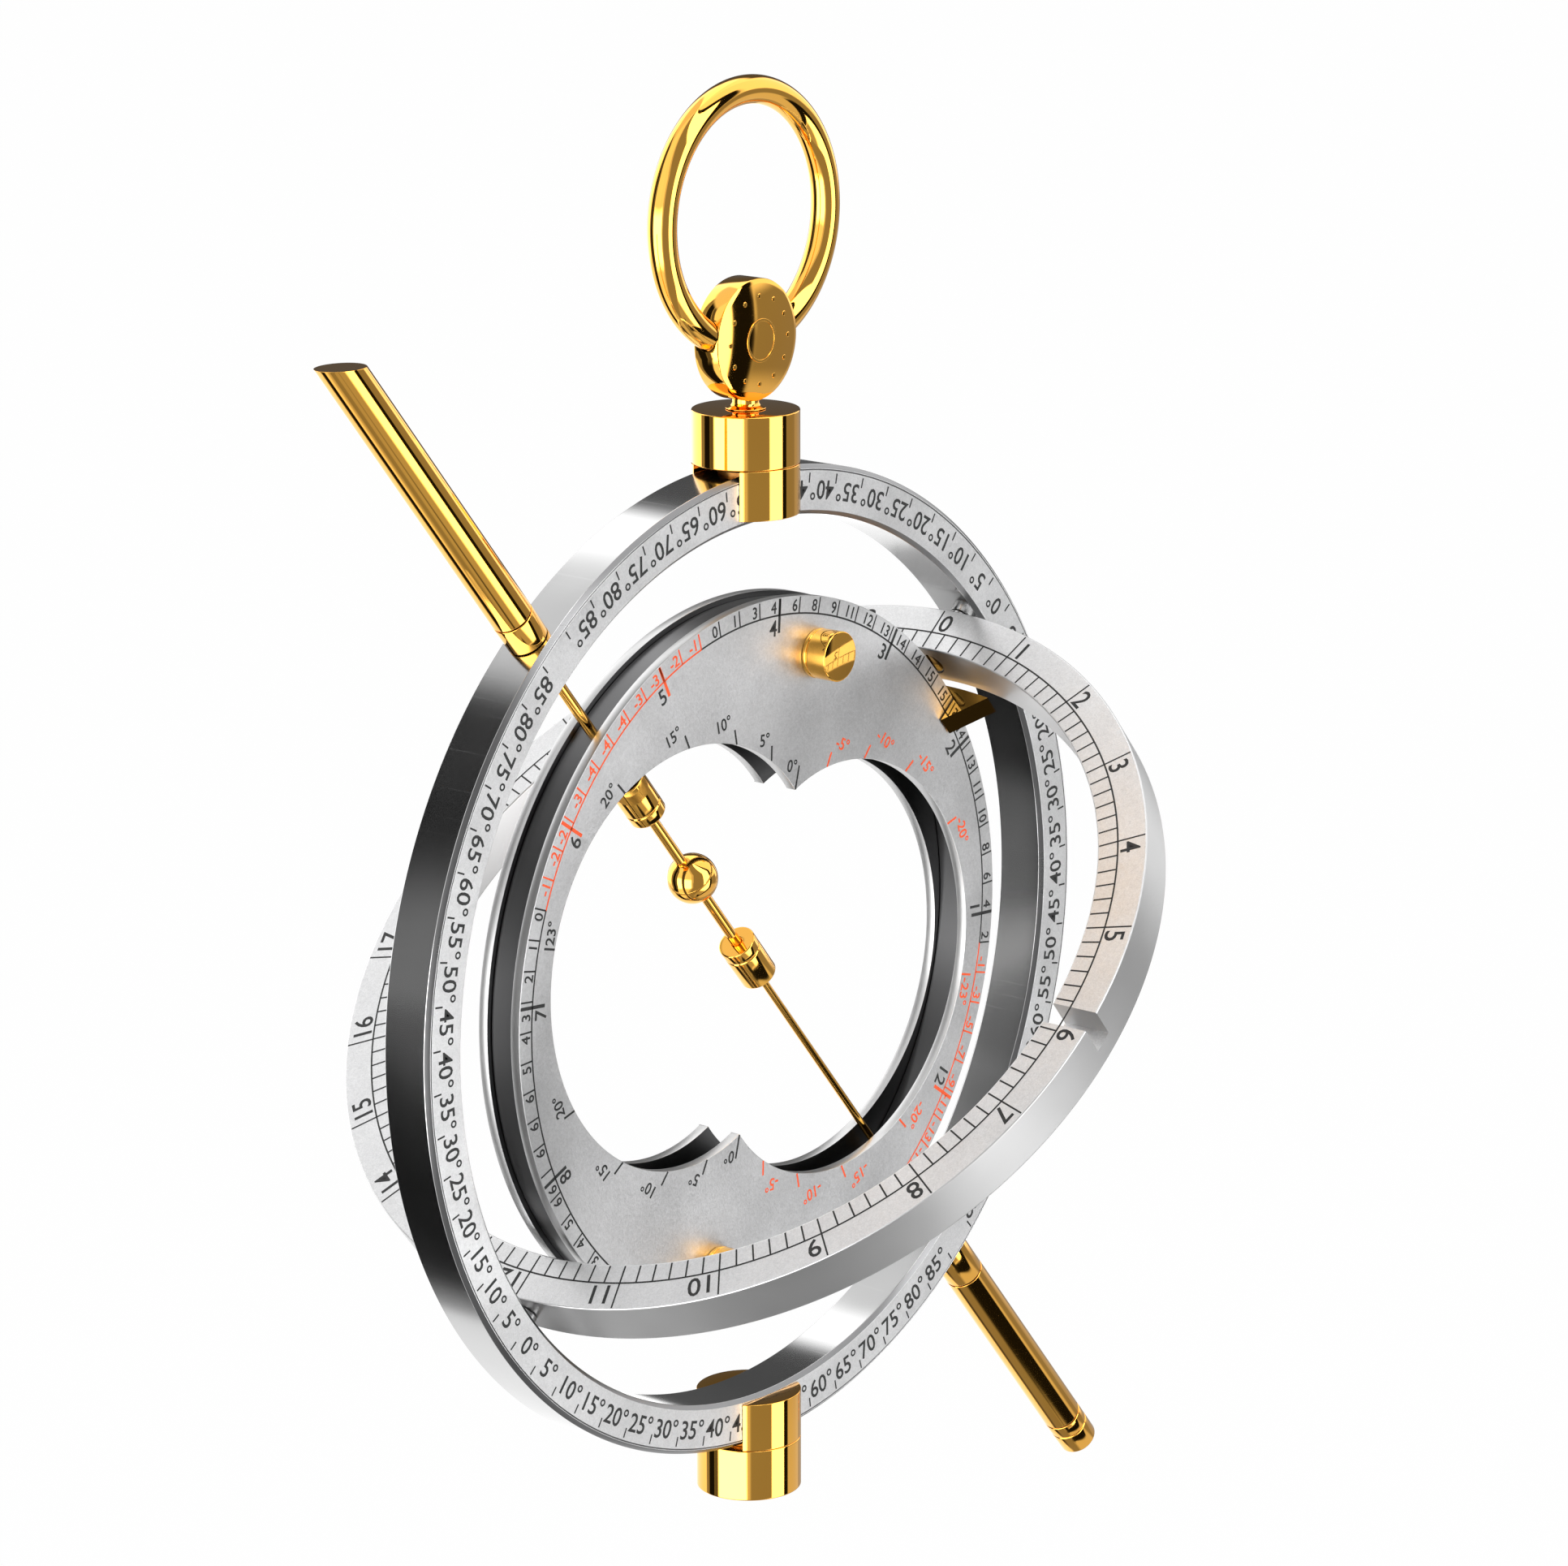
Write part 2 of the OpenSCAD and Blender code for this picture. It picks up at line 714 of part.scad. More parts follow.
suspension_ring();
bail_disc();
swivel_washer();
swivel_nut();
top_slider_cap();
top_slider_jaws();
top_slider_screws();
top_slider_pad();
top_slider_spring();
meridian_ring();
axle_bushes();
hour_pivot_screws();
hour_pivot_washers();
bottom_slider_cap();
bottom_slider_jaws();
bottom_slider_screws();
bottom_slider_pad();
bottom_slider_spring();
hour_ring();
carrier_ring();
axle_pins();
polar_wire();
upper_handle_foot();
upper_handle();
lower_handle_foot();
lower_handle();
lower_handle_cap();
hour_index();
index_screw();
front_date_plate();
front_knobs();
front_clamp_shoes();
rear_date_plate();
rear_knobs();
rear_clamp_shoes();
shuttle_tube();
shadow_bead();
upper_collar();
lower_collar();
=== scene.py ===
"""Looks of a hanging equinoctial ring sundial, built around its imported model."""

import json
import math

import bpy
from bpy.props import FloatProperty, FloatVectorProperty, IntProperty, PointerProperty
from mathutils import Matrix, Vector


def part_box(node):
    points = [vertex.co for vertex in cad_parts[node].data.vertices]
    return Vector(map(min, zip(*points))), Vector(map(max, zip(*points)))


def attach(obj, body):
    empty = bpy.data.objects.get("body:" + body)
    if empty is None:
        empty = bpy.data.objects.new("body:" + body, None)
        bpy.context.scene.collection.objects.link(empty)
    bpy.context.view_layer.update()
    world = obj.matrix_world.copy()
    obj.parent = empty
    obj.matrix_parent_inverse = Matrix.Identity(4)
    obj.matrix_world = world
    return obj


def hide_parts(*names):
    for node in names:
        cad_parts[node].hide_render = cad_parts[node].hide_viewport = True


bl_info = {
    "name": "Ring Sundial",
    "version": (1, 0, 0),
    "blender": (4, 5, 0),
    "location": "View3D > Sidebar > Sundial",
    "description": "Models and finishes a universal equinoctial ring sundial around its packed frame",
    "category": "Object",
}

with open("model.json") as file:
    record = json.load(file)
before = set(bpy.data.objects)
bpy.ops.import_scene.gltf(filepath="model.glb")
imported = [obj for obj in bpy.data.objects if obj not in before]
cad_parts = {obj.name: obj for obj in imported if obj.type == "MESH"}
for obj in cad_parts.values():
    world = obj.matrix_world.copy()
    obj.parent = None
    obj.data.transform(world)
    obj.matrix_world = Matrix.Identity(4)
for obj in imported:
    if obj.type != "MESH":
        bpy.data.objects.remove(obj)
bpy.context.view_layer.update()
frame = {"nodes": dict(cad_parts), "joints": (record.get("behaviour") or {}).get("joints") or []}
MM = 0.001

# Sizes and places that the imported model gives
MERIDIAN_LOW, MERIDIAN_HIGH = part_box("meridian_ring")
HOUR_LOW, HOUR_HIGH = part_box("hour_ring")
HOOP_LOW, HOOP_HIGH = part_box("suspension_ring")
CAP_LOW, CAP_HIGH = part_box("top_slider_cap")
BAIL_LOW, BAIL_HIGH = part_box("bail_disc")
JOINTS = {joint["name"]: joint for joint in frame["joints"]}
POLE = Vector(JOINTS["axle_turn"]["axis"])
CENTRE_Z = (MERIDIAN_LOW.z + MERIDIAN_HIGH.z) / 2
MERIDIAN_R = (MERIDIAN_HIGH.x - MERIDIAN_LOW.x) / 2

# Frames of work: the ring's centre, the same seen from the front, the polar axis and the date disc
CENTRE = Matrix.Translation((0, 0, CENTRE_Z))
FRONT = CENTRE @ Matrix.Rotation(math.radians(90), 4, "X")
BACK = CENTRE @ Matrix.Rotation(math.radians(180), 4, "Z") @ Matrix.Rotation(math.radians(90), 4, "X")
POLAR = CENTRE @ Matrix.Rotation(math.atan2(POLE.x, POLE.z), 4, "Y")
LOWER_POLAR = POLAR @ Matrix.Rotation(math.radians(180), 4, "Y")
DISC = POLAR @ Matrix.Rotation(math.radians(90), 4, "X")
DISC_BACK = DISC @ Matrix.Rotation(math.radians(180), 4, "Y")
UPSIDE_DOWN = CENTRE @ Matrix.Rotation(math.radians(180), 4, "X")

# Years, days and the Earth's tilt
OBLIQUITY = math.radians(23.44)
DAYS = 365
EQUINOX_DAY = 79.5
ECCENTRIC_SWING = math.radians(1.915)
PERIHELION = math.radians(283)


def length(name, about, value):
    return FloatProperty(name=name, description=about, default=value, unit="LENGTH", precision=5)


def colour(name, about, value):
    return FloatVectorProperty(name=name, description=about, default=value, subtype="COLOR", min=0, max=1)


class RingSizes(bpy.types.PropertyGroup):
    """Sizes of the steel rings and the date disc."""

    meridian_r: length("Meridian radius", "Outer radius of the meridian ring", MERIDIAN_R)
    meridian_in_r: length("Meridian inner radius", "Inner radius of the meridian ring", MERIDIAN_R - 4.5 * MM)
    meridian_w: length("Meridian width", "Width of the meridian ring", MERIDIAN_HIGH.y - MERIDIAN_LOW.y)
    meridian_bevel: length("Meridian bevel", "Bevel on the edges of the meridian ring", 0.38 * MM)
    groove_r: length("Groove radius", "Radius of the fine groove beside the bevel", MERIDIAN_R - 0.5 * MM)
    groove_w: length("Groove width", "Width of the fine groove", 0.13 * MM)
    groove_depth: length("Groove depth", "Depth of the fine groove", 0.06 * MM)
    hour_r: length("Hour ring radius", "Outer radius of the hour ring", (HOUR_HIGH.y - HOUR_LOW.y) / 2)
    hour_in_r: length("Hour ring inner radius", "Inner radius of the hour ring", 35 * MM)
    hour_t: length("Hour ring thickness", "Thickness of the hour ring", 4.6 * MM)
    notch_w: length("Notch width", "Width of the notches at hours 6 and 18", 2 * MM)
    notch_floor: length("Notch floor", "Distance of the notch floor beyond the middle plane", 0.6 * MM)
    disc_r: length("Disc radius", "Radius of the date plates", 33.4 * MM)
    plate_in_y: length("Plate inner face", "Distance of a plate's inner face from the middle", 1.35 * MM)
    plate_y: length("Plate outer face", "Distance of a plate's outer face from the middle", 2.35 * MM)
    carrier_r: length("Carrier radius", "Outer radius of the carrier ring", 32.9 * MM)
    carrier_in_r: length("Carrier inner radius", "Inner radius of the carrier ring", 30 * MM)
    cam_neck_r: length("Cam neck", "Half opening of the cam at the equinoxes", 15.75 * MM)
    cam_wide_r: length("Cam width", "Half opening of the cam at the solstices", 29.6 * MM)
    knob_r: length("Knob place", "Distance of the knobs from the disc's centre", 28.3 * MM)
    bevel: length("Bevel", "Rounding of the steel edges", 0.16 * MM)


class FittingSizes(bpy.types.PropertyGroup):
    """Sizes of the gilt fittings."""

    hoop_wire_r: length("Suspension wire", "Wire radius of the suspension ring", HOOP_HIGH.y)
    hoop_r: length("Suspension radius", "Centre-line radius of the suspension ring", 11.15 * MM)
    slider_r: length("Slider radius", "Radius of both sliders", (CAP_HIGH.x - CAP_LOW.x) / 2)
    jaw_end: length("Jaw end", "Distance of the jaws' ends from the ring's centre", 41.15 * MM)
    slot_half: length("Slot half width", "Half width of the slot between the jaws", 2.65 * MM)
    handle_r: length("Handle radius", "Radius of both handles", 1.9 * MM)
    pin_r: length("Pin radius", "Radius of the axle pins", 0.5 * MM)
    wire_r: length("Wire radius", "Radius of the polar wire", 0.35 * MM)
    bead_r: length("Bead radius", "Radius of the shadow bead", 2.3 * MM)
    bead_at: length("Bead place", "Distance of the bead from the disc's centre", 11.807 * MM)
    collar_r: length("Collar radius", "Radius of the stop collars", 1.75 * MM)
    collar_l: length("Collar length", "Length of the stop collars", 4.8 * MM)
    collar_end: length("Collar reach", "Distance of the collars' outer ends from the bead", 14.2 * MM)
    knob_d: length("Knob diameter", "Diameter of the date knobs", 4.6 * MM)
    knob_h: length("Knob height", "Height of the date knobs", 2.6 * MM)
    bevel: length("Bevel", "Rounding of the gilt edges", 0.13 * MM)
    bail_crown: length("Bail crown", "Rise of the bail's faces from the edge to the middle", 0.55 * MM)


class ScaleSizes(bpy.types.PropertyGroup):
    """Sizes and settings of the engraved scales."""

    line_w: length("Line width", "Width of the fine engraved lines", 0.16 * MM)
    bold_w: length("Bold line width", "Width of the month lines", 0.32 * MM)
    spread: length("Stroke spread", "Widening of the strokes of the numbers on each side", 0.022 * MM)
    inlay: length("Inlay height", "Height of the engraving paint over the metal", 0.012 * MM)
    degree_h: length("Degree height", "Height of the numbers on the meridian ring", 1.75 * MM)
    hour_h: length("Hour height", "Height of the numbers on the hour ring", 1.95 * MM)
    minute_h: length("Minute height", "Height of the minute numbers at the disc's rim", 1.1 * MM)
    month_h: length("Month height", "Height of the month numbers", 1.5 * MM)
    declination_h: length("Declination height", "Height of the declination numbers", 1.15 * MM)
    hour_line_r: length("Hour circle", "Radius of the circle on the hour ring", 36.94 * MM)
    date_line_r: length("Date circle", "Radius of the circle on the date plates", 31.8 * MM)
    degree_step: IntProperty(name="Degree step", description="Degrees between numbers", default=5, min=5)
    day_step: IntProperty(name="Day step", description="Days between date lines", default=5, min=1)
    sun_longitude: FloatProperty(name="Sun", description="Solar longitude that is set", default=54.65)


class DialColours(bpy.types.PropertyGroup):
    """Colours of the metals and of the engraving."""

    gold: colour("Gold", "Polished gold", (1.0, 0.51, 0.09))
    steel: colour("Steel", "Satin steel of the ring faces", (0.69, 0.69, 0.694))
    # The plate colour is the satin ring steel darkened: painted shade on the date plates
    plate: colour("Plate", "Satin steel of the date plates", (0.6, 0.6, 0.604))
    rim: colour("Rim", "Polished steel rims", (0.56, 0.56, 0.56))
    # The bevel colour is the polished rim steel darkened: a painted dark reflection on the meridian ring's
    # bevels
    bevel: colour("Bevel", "Dark polish on the bevels of the meridian ring", (0.24, 0.24, 0.243))
    # The carrier colour also serves as painted shade in the meridian ring's groove and on the date plates'
    # inner faces
    dark: colour("Carrier", "Dark polished carrier ring", (0.15, 0.15, 0.152))
    ink: colour("Engraving", "Black engraving paint", (0.006, 0.006, 0.006))
    red: colour("Negative engraving", "Orange-red engraving paint", (0.82, 0.085, 0.012))
    bronze: colour("Bronze", "Bearing bronze", (0.42, 0.26, 0.1))


class Value:
    """A shader socket with which sums are written as Python expressions."""

    def __init__(self, tree, socket):
        self.tree = tree
        self.socket = socket

    def math(self, operation, *others):
        node = self.tree.nodes.new("ShaderNodeMath")
        node.operation = operation
        for place, term in enumerate((self, *others)):
            if isinstance(term, Value):
                self.tree.links.new(term.socket, node.inputs[place])
            else:
                node.inputs[place].default_value = term
        return Value(self.tree, node.outputs[0])

    def __add__(self, other):
        return self.math("ADD", other)

    def __sub__(self, other):
        return self.math("SUBTRACT", other)

    def __mul__(self, other):
        return self.math("MULTIPLY", other)

    def __truediv__(self, other):
        return self.math("DIVIDE", other)

    def __neg__(self):
        return self.math("MULTIPLY", -1.0)

    def __rsub__(self, other):
        return -self + other

    __radd__ = __add__
    __rmul__ = __mul__

    def step(self, start, end):
        """Rises smoothly from 0 to 1 between two values."""
        node = self.tree.nodes.new("ShaderNodeMapRange")
        node.interpolation_type = "SMOOTHSTEP"
        self.tree.links.new(self.socket, node.inputs["Value"])
        node.inputs["From Min"].default_value = start
        node.inputs["From Max"].default_value = end
        return Value(self.tree, node.outputs[0])

    def band(self, low, high, soft):
        """1 between two values and 0 outside them, with soft edges."""
        return self.step(low - soft, low + soft) * (1 - self.step(high - soft, high + soft))


class Finish:
    """A node tree that is being written, of a material or of the world."""

    def __init__(self, tree):
        self.tree = tree
        tree.nodes.clear()

    def node(self, kind, settings=None, **sockets):
        """Adds a node, applies its settings and joins its sockets; returns the node."""
        node = self.tree.nodes.new("ShaderNode" + kind)
        for name, setting in (settings or {}).items():
            setattr(node, name, setting)
        for name, term in sockets.items():
            socket = node.inputs[name.replace("_", " ")]
            if isinstance(term, Value):
                self.tree.links.new(term.socket, socket)
            elif isinstance(term, bpy.types.NodeSocket):
                self.tree.links.new(term, socket)
            else:
                socket.default_value = term
        return node

    def value(self, node, output=0):
        return Value(self.tree, node.outputs[output])

    def noise(self, place, scale, detail=3.0, roughness=0.55):
        settings = {"noise_dimensions": "3D"}
        node = self.node("TexNoise", settings, Vector=place, Scale=scale, Detail=detail, Roughness=roughness)
        return self.value(node)

    def shade(self, low, high, factor):
        """Colour between two colours."""
        node = self.node("Mix", {"data_type": "RGBA"})
        self.tree.links.new(factor.socket, node.inputs["Factor"])
        node.inputs[6].default_value = (*low, 1)
        node.inputs[7].default_value = (*high, 1)
        return node.outputs[2]

    def surface(self, shader):
        output = self.node("OutputMaterial")
        self.tree.links.new(shader.outputs[0], output.inputs["Surface"])


def new_finish(name):
    material = bpy.data.materials.new(name)
    material.use_nodes = True
    return material, Finish(material.node_tree)


def tinted(rgb, gain):
    return tuple(min(1.0, channel * gain) for channel in rgb)


def polished_metal(name, rgb, sheen, wear, grain_scale, bump):
    """Polished metal: slow polish waves that shade its tone, hairline scratches and a faint grain."""
    material, finish = new_finish(name)
    place = finish.node("TexCoord").outputs["Object"]
    waves = finish.noise(place, 90.0, 2.0)
    hair = finish.noise(place, grain_scale, 5.0, 0.7)
    stretched = finish.node("Mapping", None, Vector=place, Scale=(400.0, 60.0, 6000.0))
    scratch = finish.noise(stretched.outputs[0], 1.0, 2.0, 0.4).step(0.62, 0.74)
    rough = sheen + waves * wear + scratch * wear
    tone = finish.shade(tinted(rgb, 0.95), tinted(rgb, 1.03), waves.step(0.3, 0.7))
    relief = finish.node("Bump", None, Strength=bump, Distance=0.00002, Height=hair * 0.6 + scratch * 0.4)
    shader = finish.node("BsdfPrincipled", None, Base_Color=tone, Metallic=1.0, Roughness=rough,
                         Normal=relief.outputs[0])
    finish.surface(shader)
    return material


def satin_metal(name, rgb, sheen):
    """Bead-blasted steel: fine sparkle in the grain, faint clouds and a few handling marks."""
    material, finish = new_finish(name)
    place = finish.node("TexCoord").outputs["Object"]
    cloud = finish.noise(place, 150.0, 3.0)
    grain = finish.noise(place, 7000.0, 1.0, 0.8)
    coarse = finish.noise(place, 2600.0, 3.0, 0.7)
    marks = finish.noise(place, 420.0, 5.0, 0.7).step(0.6, 0.72)
    blend = grain * 0.5 + coarse * 0.4 + cloud * 0.25 - marks * 0.06
    tone = finish.shade(tinted(rgb, 0.62), tinted(rgb, 1.3), blend)
    rough = sheen + (cloud - 0.5) * 0.1 + (grain - 0.5) * 0.2 - marks * 0.05
    relief = finish.node("Bump", None, Strength=0.45, Distance=0.00004, Height=grain * 0.5 + coarse * 0.5)
    shader = finish.node("BsdfPrincipled", None, Base_Color=tone, Metallic=1.0, Roughness=rough,
                         Normal=relief.outputs[0])
    finish.surface(shader)
    return material


def engraving_paint(name, rgb):
    """Paint in the engraving: matt, with a fine uneven fill."""
    material, finish = new_finish(name)
    place = finish.node("TexCoord").outputs["Object"]
    fill = finish.noise(place, 4000.0, 2.0)
    tone = finish.shade(tinted(rgb, 0.8), tinted(rgb, 1.25), fill)
    shader = finish.node("BsdfPrincipled", None, Base_Color=tone, Roughness=0.45 + fill * 0.2)
    finish.surface(shader)
    return material


FINISHES = {}


def make_finishes(colours):
    """Every finish of the dial, by name."""
    FINISHES["gold"] = polished_metal("polished_gold", colours.gold, 0.03, 0.025, 2500.0, 0.015)
    FINISHES["steel"] = satin_metal("satin_steel", colours.steel, 0.4)
    # Date plates: the satin steel darkened, painted shade
    FINISHES["plate"] = satin_metal("satin_steel_painted_plate_shade", colours.plate, 0.38)
    FINISHES["rim"] = polished_metal("polished_steel_rim", colours.rim, 0.12, 0.035, 3000.0, 0.03)
    FINISHES["edge"] = polished_metal("brushed_steel_edge", colours.rim, 0.34, 0.05, 4000.0, 0.08)
    # Bevels: polished rim steel darkened, a painted dark reflection
    FINISHES["bevel"] = polished_metal("bevel_steel_painted_dark_reflection", colours.bevel, 0.26, 0.04, 3000.0, 0.05)
    # Dark steel of the carrier ring, also laid as painted shade in the meridian groove and on the plates'
    # inner faces
    FINISHES["dark"] = polished_metal("carrier_steel_and_painted_gap_shade", colours.dark, 0.28, 0.05, 3000.0, 0.08)
    FINISHES["bronze"] = polished_metal("bearing_bronze", colours.bronze, 0.3, 0.08, 2500.0, 0.1)
    FINISHES["spring"] = polished_metal("spring_steel", colours.steel, 0.25, 0.06, 2500.0, 0.06)
    FINISHES["ink"] = engraving_paint("black_engraving", colours.ink)
    FINISHES["red"] = engraving_paint("red_engraving", colours.red)


def deselect():
    bpy.ops.object.select_all(action="DESELECT")


def only(piece):
    deselect()
    piece.select_set(True)
    bpy.context.view_layer.objects.active = piece


def fresh(name):
    """The object that an operator has just added, under its new name."""
    piece = bpy.context.active_object
    piece.name = name
    piece.data.name = name
    return piece


def softened(outline, radius, closed):
    """An outline with its corners rounded, each by a short curve of four chords."""
    points = [Vector(point) for point in outline]
    count = len(points)
    result = []
    for place, corner in enumerate(points):
        if not closed and place in (0, count - 1):
            result.append(corner)
            continue
        before = points[place - 1]
        after = points[(place + 1) % count]
        reach_back = min(radius, (before - corner).length * 0.45)
        reach_on = min(radius, (after - corner).length * 0.45)
        start = corner + (before - corner).normalized() * reach_back
        end = corner + (after - corner).normalized() * reach_on
        for part in range(5):
            t = part / 4
            result.append(start * (1 - t) ** 2 + corner * (2 * t * (1 - t)) + end * t ** 2)
    return result


def turned(name, outline, place, radius=0.0, closed=False, steps=256):
    """A turned piece: an outline of radius and height, spun round the local Z axis."""
    points = softened(outline, radius, closed) if radius else [Vector(point) for point in outline]
    deselect()
    bpy.ops.mesh.primitive_circle_add(vertices=len(points), radius=MM, fill_type="NOTHING")
    piece = fresh(name)
    for vertex, point in zip(piece.data.vertices, points):
        vertex.co = (point.x, 0, point.y)
    bpy.ops.object.mode_set(mode="EDIT")
    bpy.ops.mesh.select_mode(type="EDGE")
    bpy.ops.mesh.select_all(action="DESELECT")
    bpy.ops.object.mode_set(mode="OBJECT")
    if not closed:
        last = len(points) - 1
        for edge in piece.data.edges:
            edge.select = set(edge.vertices) == {0, last}
        bpy.ops.object.mode_set(mode="EDIT")
        bpy.ops.mesh.delete(type="EDGE")
        bpy.ops.object.mode_set(mode="OBJECT")
    bpy.ops.object.mode_set(mode="EDIT")
    bpy.ops.mesh.select_mode(type="VERT")
    bpy.ops.mesh.select_all(action="SELECT")
    bpy.ops.mesh.spin(steps=steps, angle=2 * math.pi, center=(0, 0, 0), axis=(0, 0, 1))
    bpy.ops.mesh.select_all(action="SELECT")
    bpy.ops.mesh.remove_doubles(threshold=1e-7)
    bpy.ops.mesh.normals_make_consistent(inside=False)
    bpy.ops.object.mode_set(mode="OBJECT")
    settle(piece, place)
    return piece


def settle(piece, place):
    """Moves a piece to its place and leaves its object at the origin, unturned and unscaled."""
    only(piece)
    piece.matrix_world = place @ piece.matrix_world
    bpy.ops.object.transform_apply(location=True, rotation=True, scale=True)


def smooth(piece, angle=32):
    """Smooth shading up to an angle, led by the large faces so that bevels don't tilt them."""
    only(piece)
    bpy.ops.object.shade_smooth_by_angle(angle=math.radians(angle))
    bpy.ops.object.modifier_add(type="WEIGHTED_NORMAL")
    modifier = piece.modifiers[-1]
    modifier.keep_sharp = True
    bpy.ops.object.modifier_apply(modifier=modifier.name)


def bore(name, radius, start, end, place, steps=64):
    """A plain rod for cutting a hole."""
    return turned(name, [(0, start), (radius, start), (radius, end), (0, end)], place, steps=steps)


def block(name, low, high, place):
    """A rectangular cutter between two corners."""
    middle = [(a + b) / 2 for a, b in zip(low, high)]
    sides = [b - a for a, b in zip(low, high)]
    deselect()
    bpy.ops.mesh.primitive_cube_add(size=1, location=middle, scale=sides)
    piece = fresh(name)
    only(piece)
    bpy.ops.object.transform_apply(location=True, rotation=True, scale=True)
    settle(piece, place)
    return piece


def combine(piece, other, operation):
    """Cuts, joins or intersects a piece with another, which is used up."""
    only(piece)
    bpy.ops.object.modifier_add(type="BOOLEAN")
    modifier = piece.modifiers[-1]
    modifier.operation = operation
    modifier.solver = "EXACT"
    modifier.object = other
    bpy.ops.object.modifier_apply(modifier=modifier.name)
    bpy.data.objects.remove(other)


def cut(piece, *cutters):
    for cutter in cutters:
        combine(piece, cutter, "DIFFERENCE")


def chamfer(piece, width, angle=50):
    """A fine chamfer on every edge sharper than the angle."""
    only(piece)
    bpy.ops.object.modifier_add(type="BEVEL")
    modifier = piece.modifiers[-1]
    modifier.width = width
    modifier.segments = 2
    modifier.limit_method = "ANGLE"
    modifier.angle_limit = math.radians(angle)
    bpy.ops.object.modifier_apply(modifier=modifier.name)


def finish_with(piece, name):
    piece.data.materials.clear()
    piece.data.materials.append(FINISHES[name])


def face_and_rim(piece, axis, face="steel", rim="rim"):
    """Satin on the faces square to an axis, polish on the rims."""
    piece.data.materials.clear()
    piece.data.materials.append(FINISHES[face])
    piece.data.materials.append(FINISHES[rim])
    for polygon in piece.data.polygons:
        polygon.material_index = 0 if abs(polygon.normal.dot(axis)) > 0.95 else 1


def stand_for(piece, body, node):
    """The piece rides on a body and is shown in place of its solid."""
    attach(piece, body)
    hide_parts(node)


def gilded(piece, body, node, angle=32):
    """Smooths a polished gold piece, which stands for its solid."""
    smooth(piece, angle)
    finish_with(piece, "gold")
    stand_for(piece, body, node)


def gathered(name, pieces):
    """Several objects as one."""
    deselect()
    for piece in pieces:
        piece.select_set(True)
    bpy.context.view_layer.objects.active = pieces[0]
    if len(pieces) > 1:
        bpy.ops.object.join()
    return fresh(name)


def ring_outline(r_in, r_out, low, high):
    return [(r_in, low), (r_out, low), (r_out, high), (r_in, high)]


def rod_outline(radius, low, high):
    return [(0, low), (radius, low), (radius, high), (0, high)]


def grooved_rod(radius, low, high, groove_at):
    """Outline of a rod with a fine groove at a height."""
    half_w = 0.075 * MM
    depth = 0.12 * MM
    floor_w = half_w - depth / 2
    floor_r = radius - depth
    return [(0, low), (radius, low), (radius, groove_at - half_w), (floor_r, groove_at - floor_w),
            (floor_r, groove_at + floor_w), (radius, groove_at + half_w), (radius, high), (0, high)]


NUMBER_GAP = 0.28 * MM


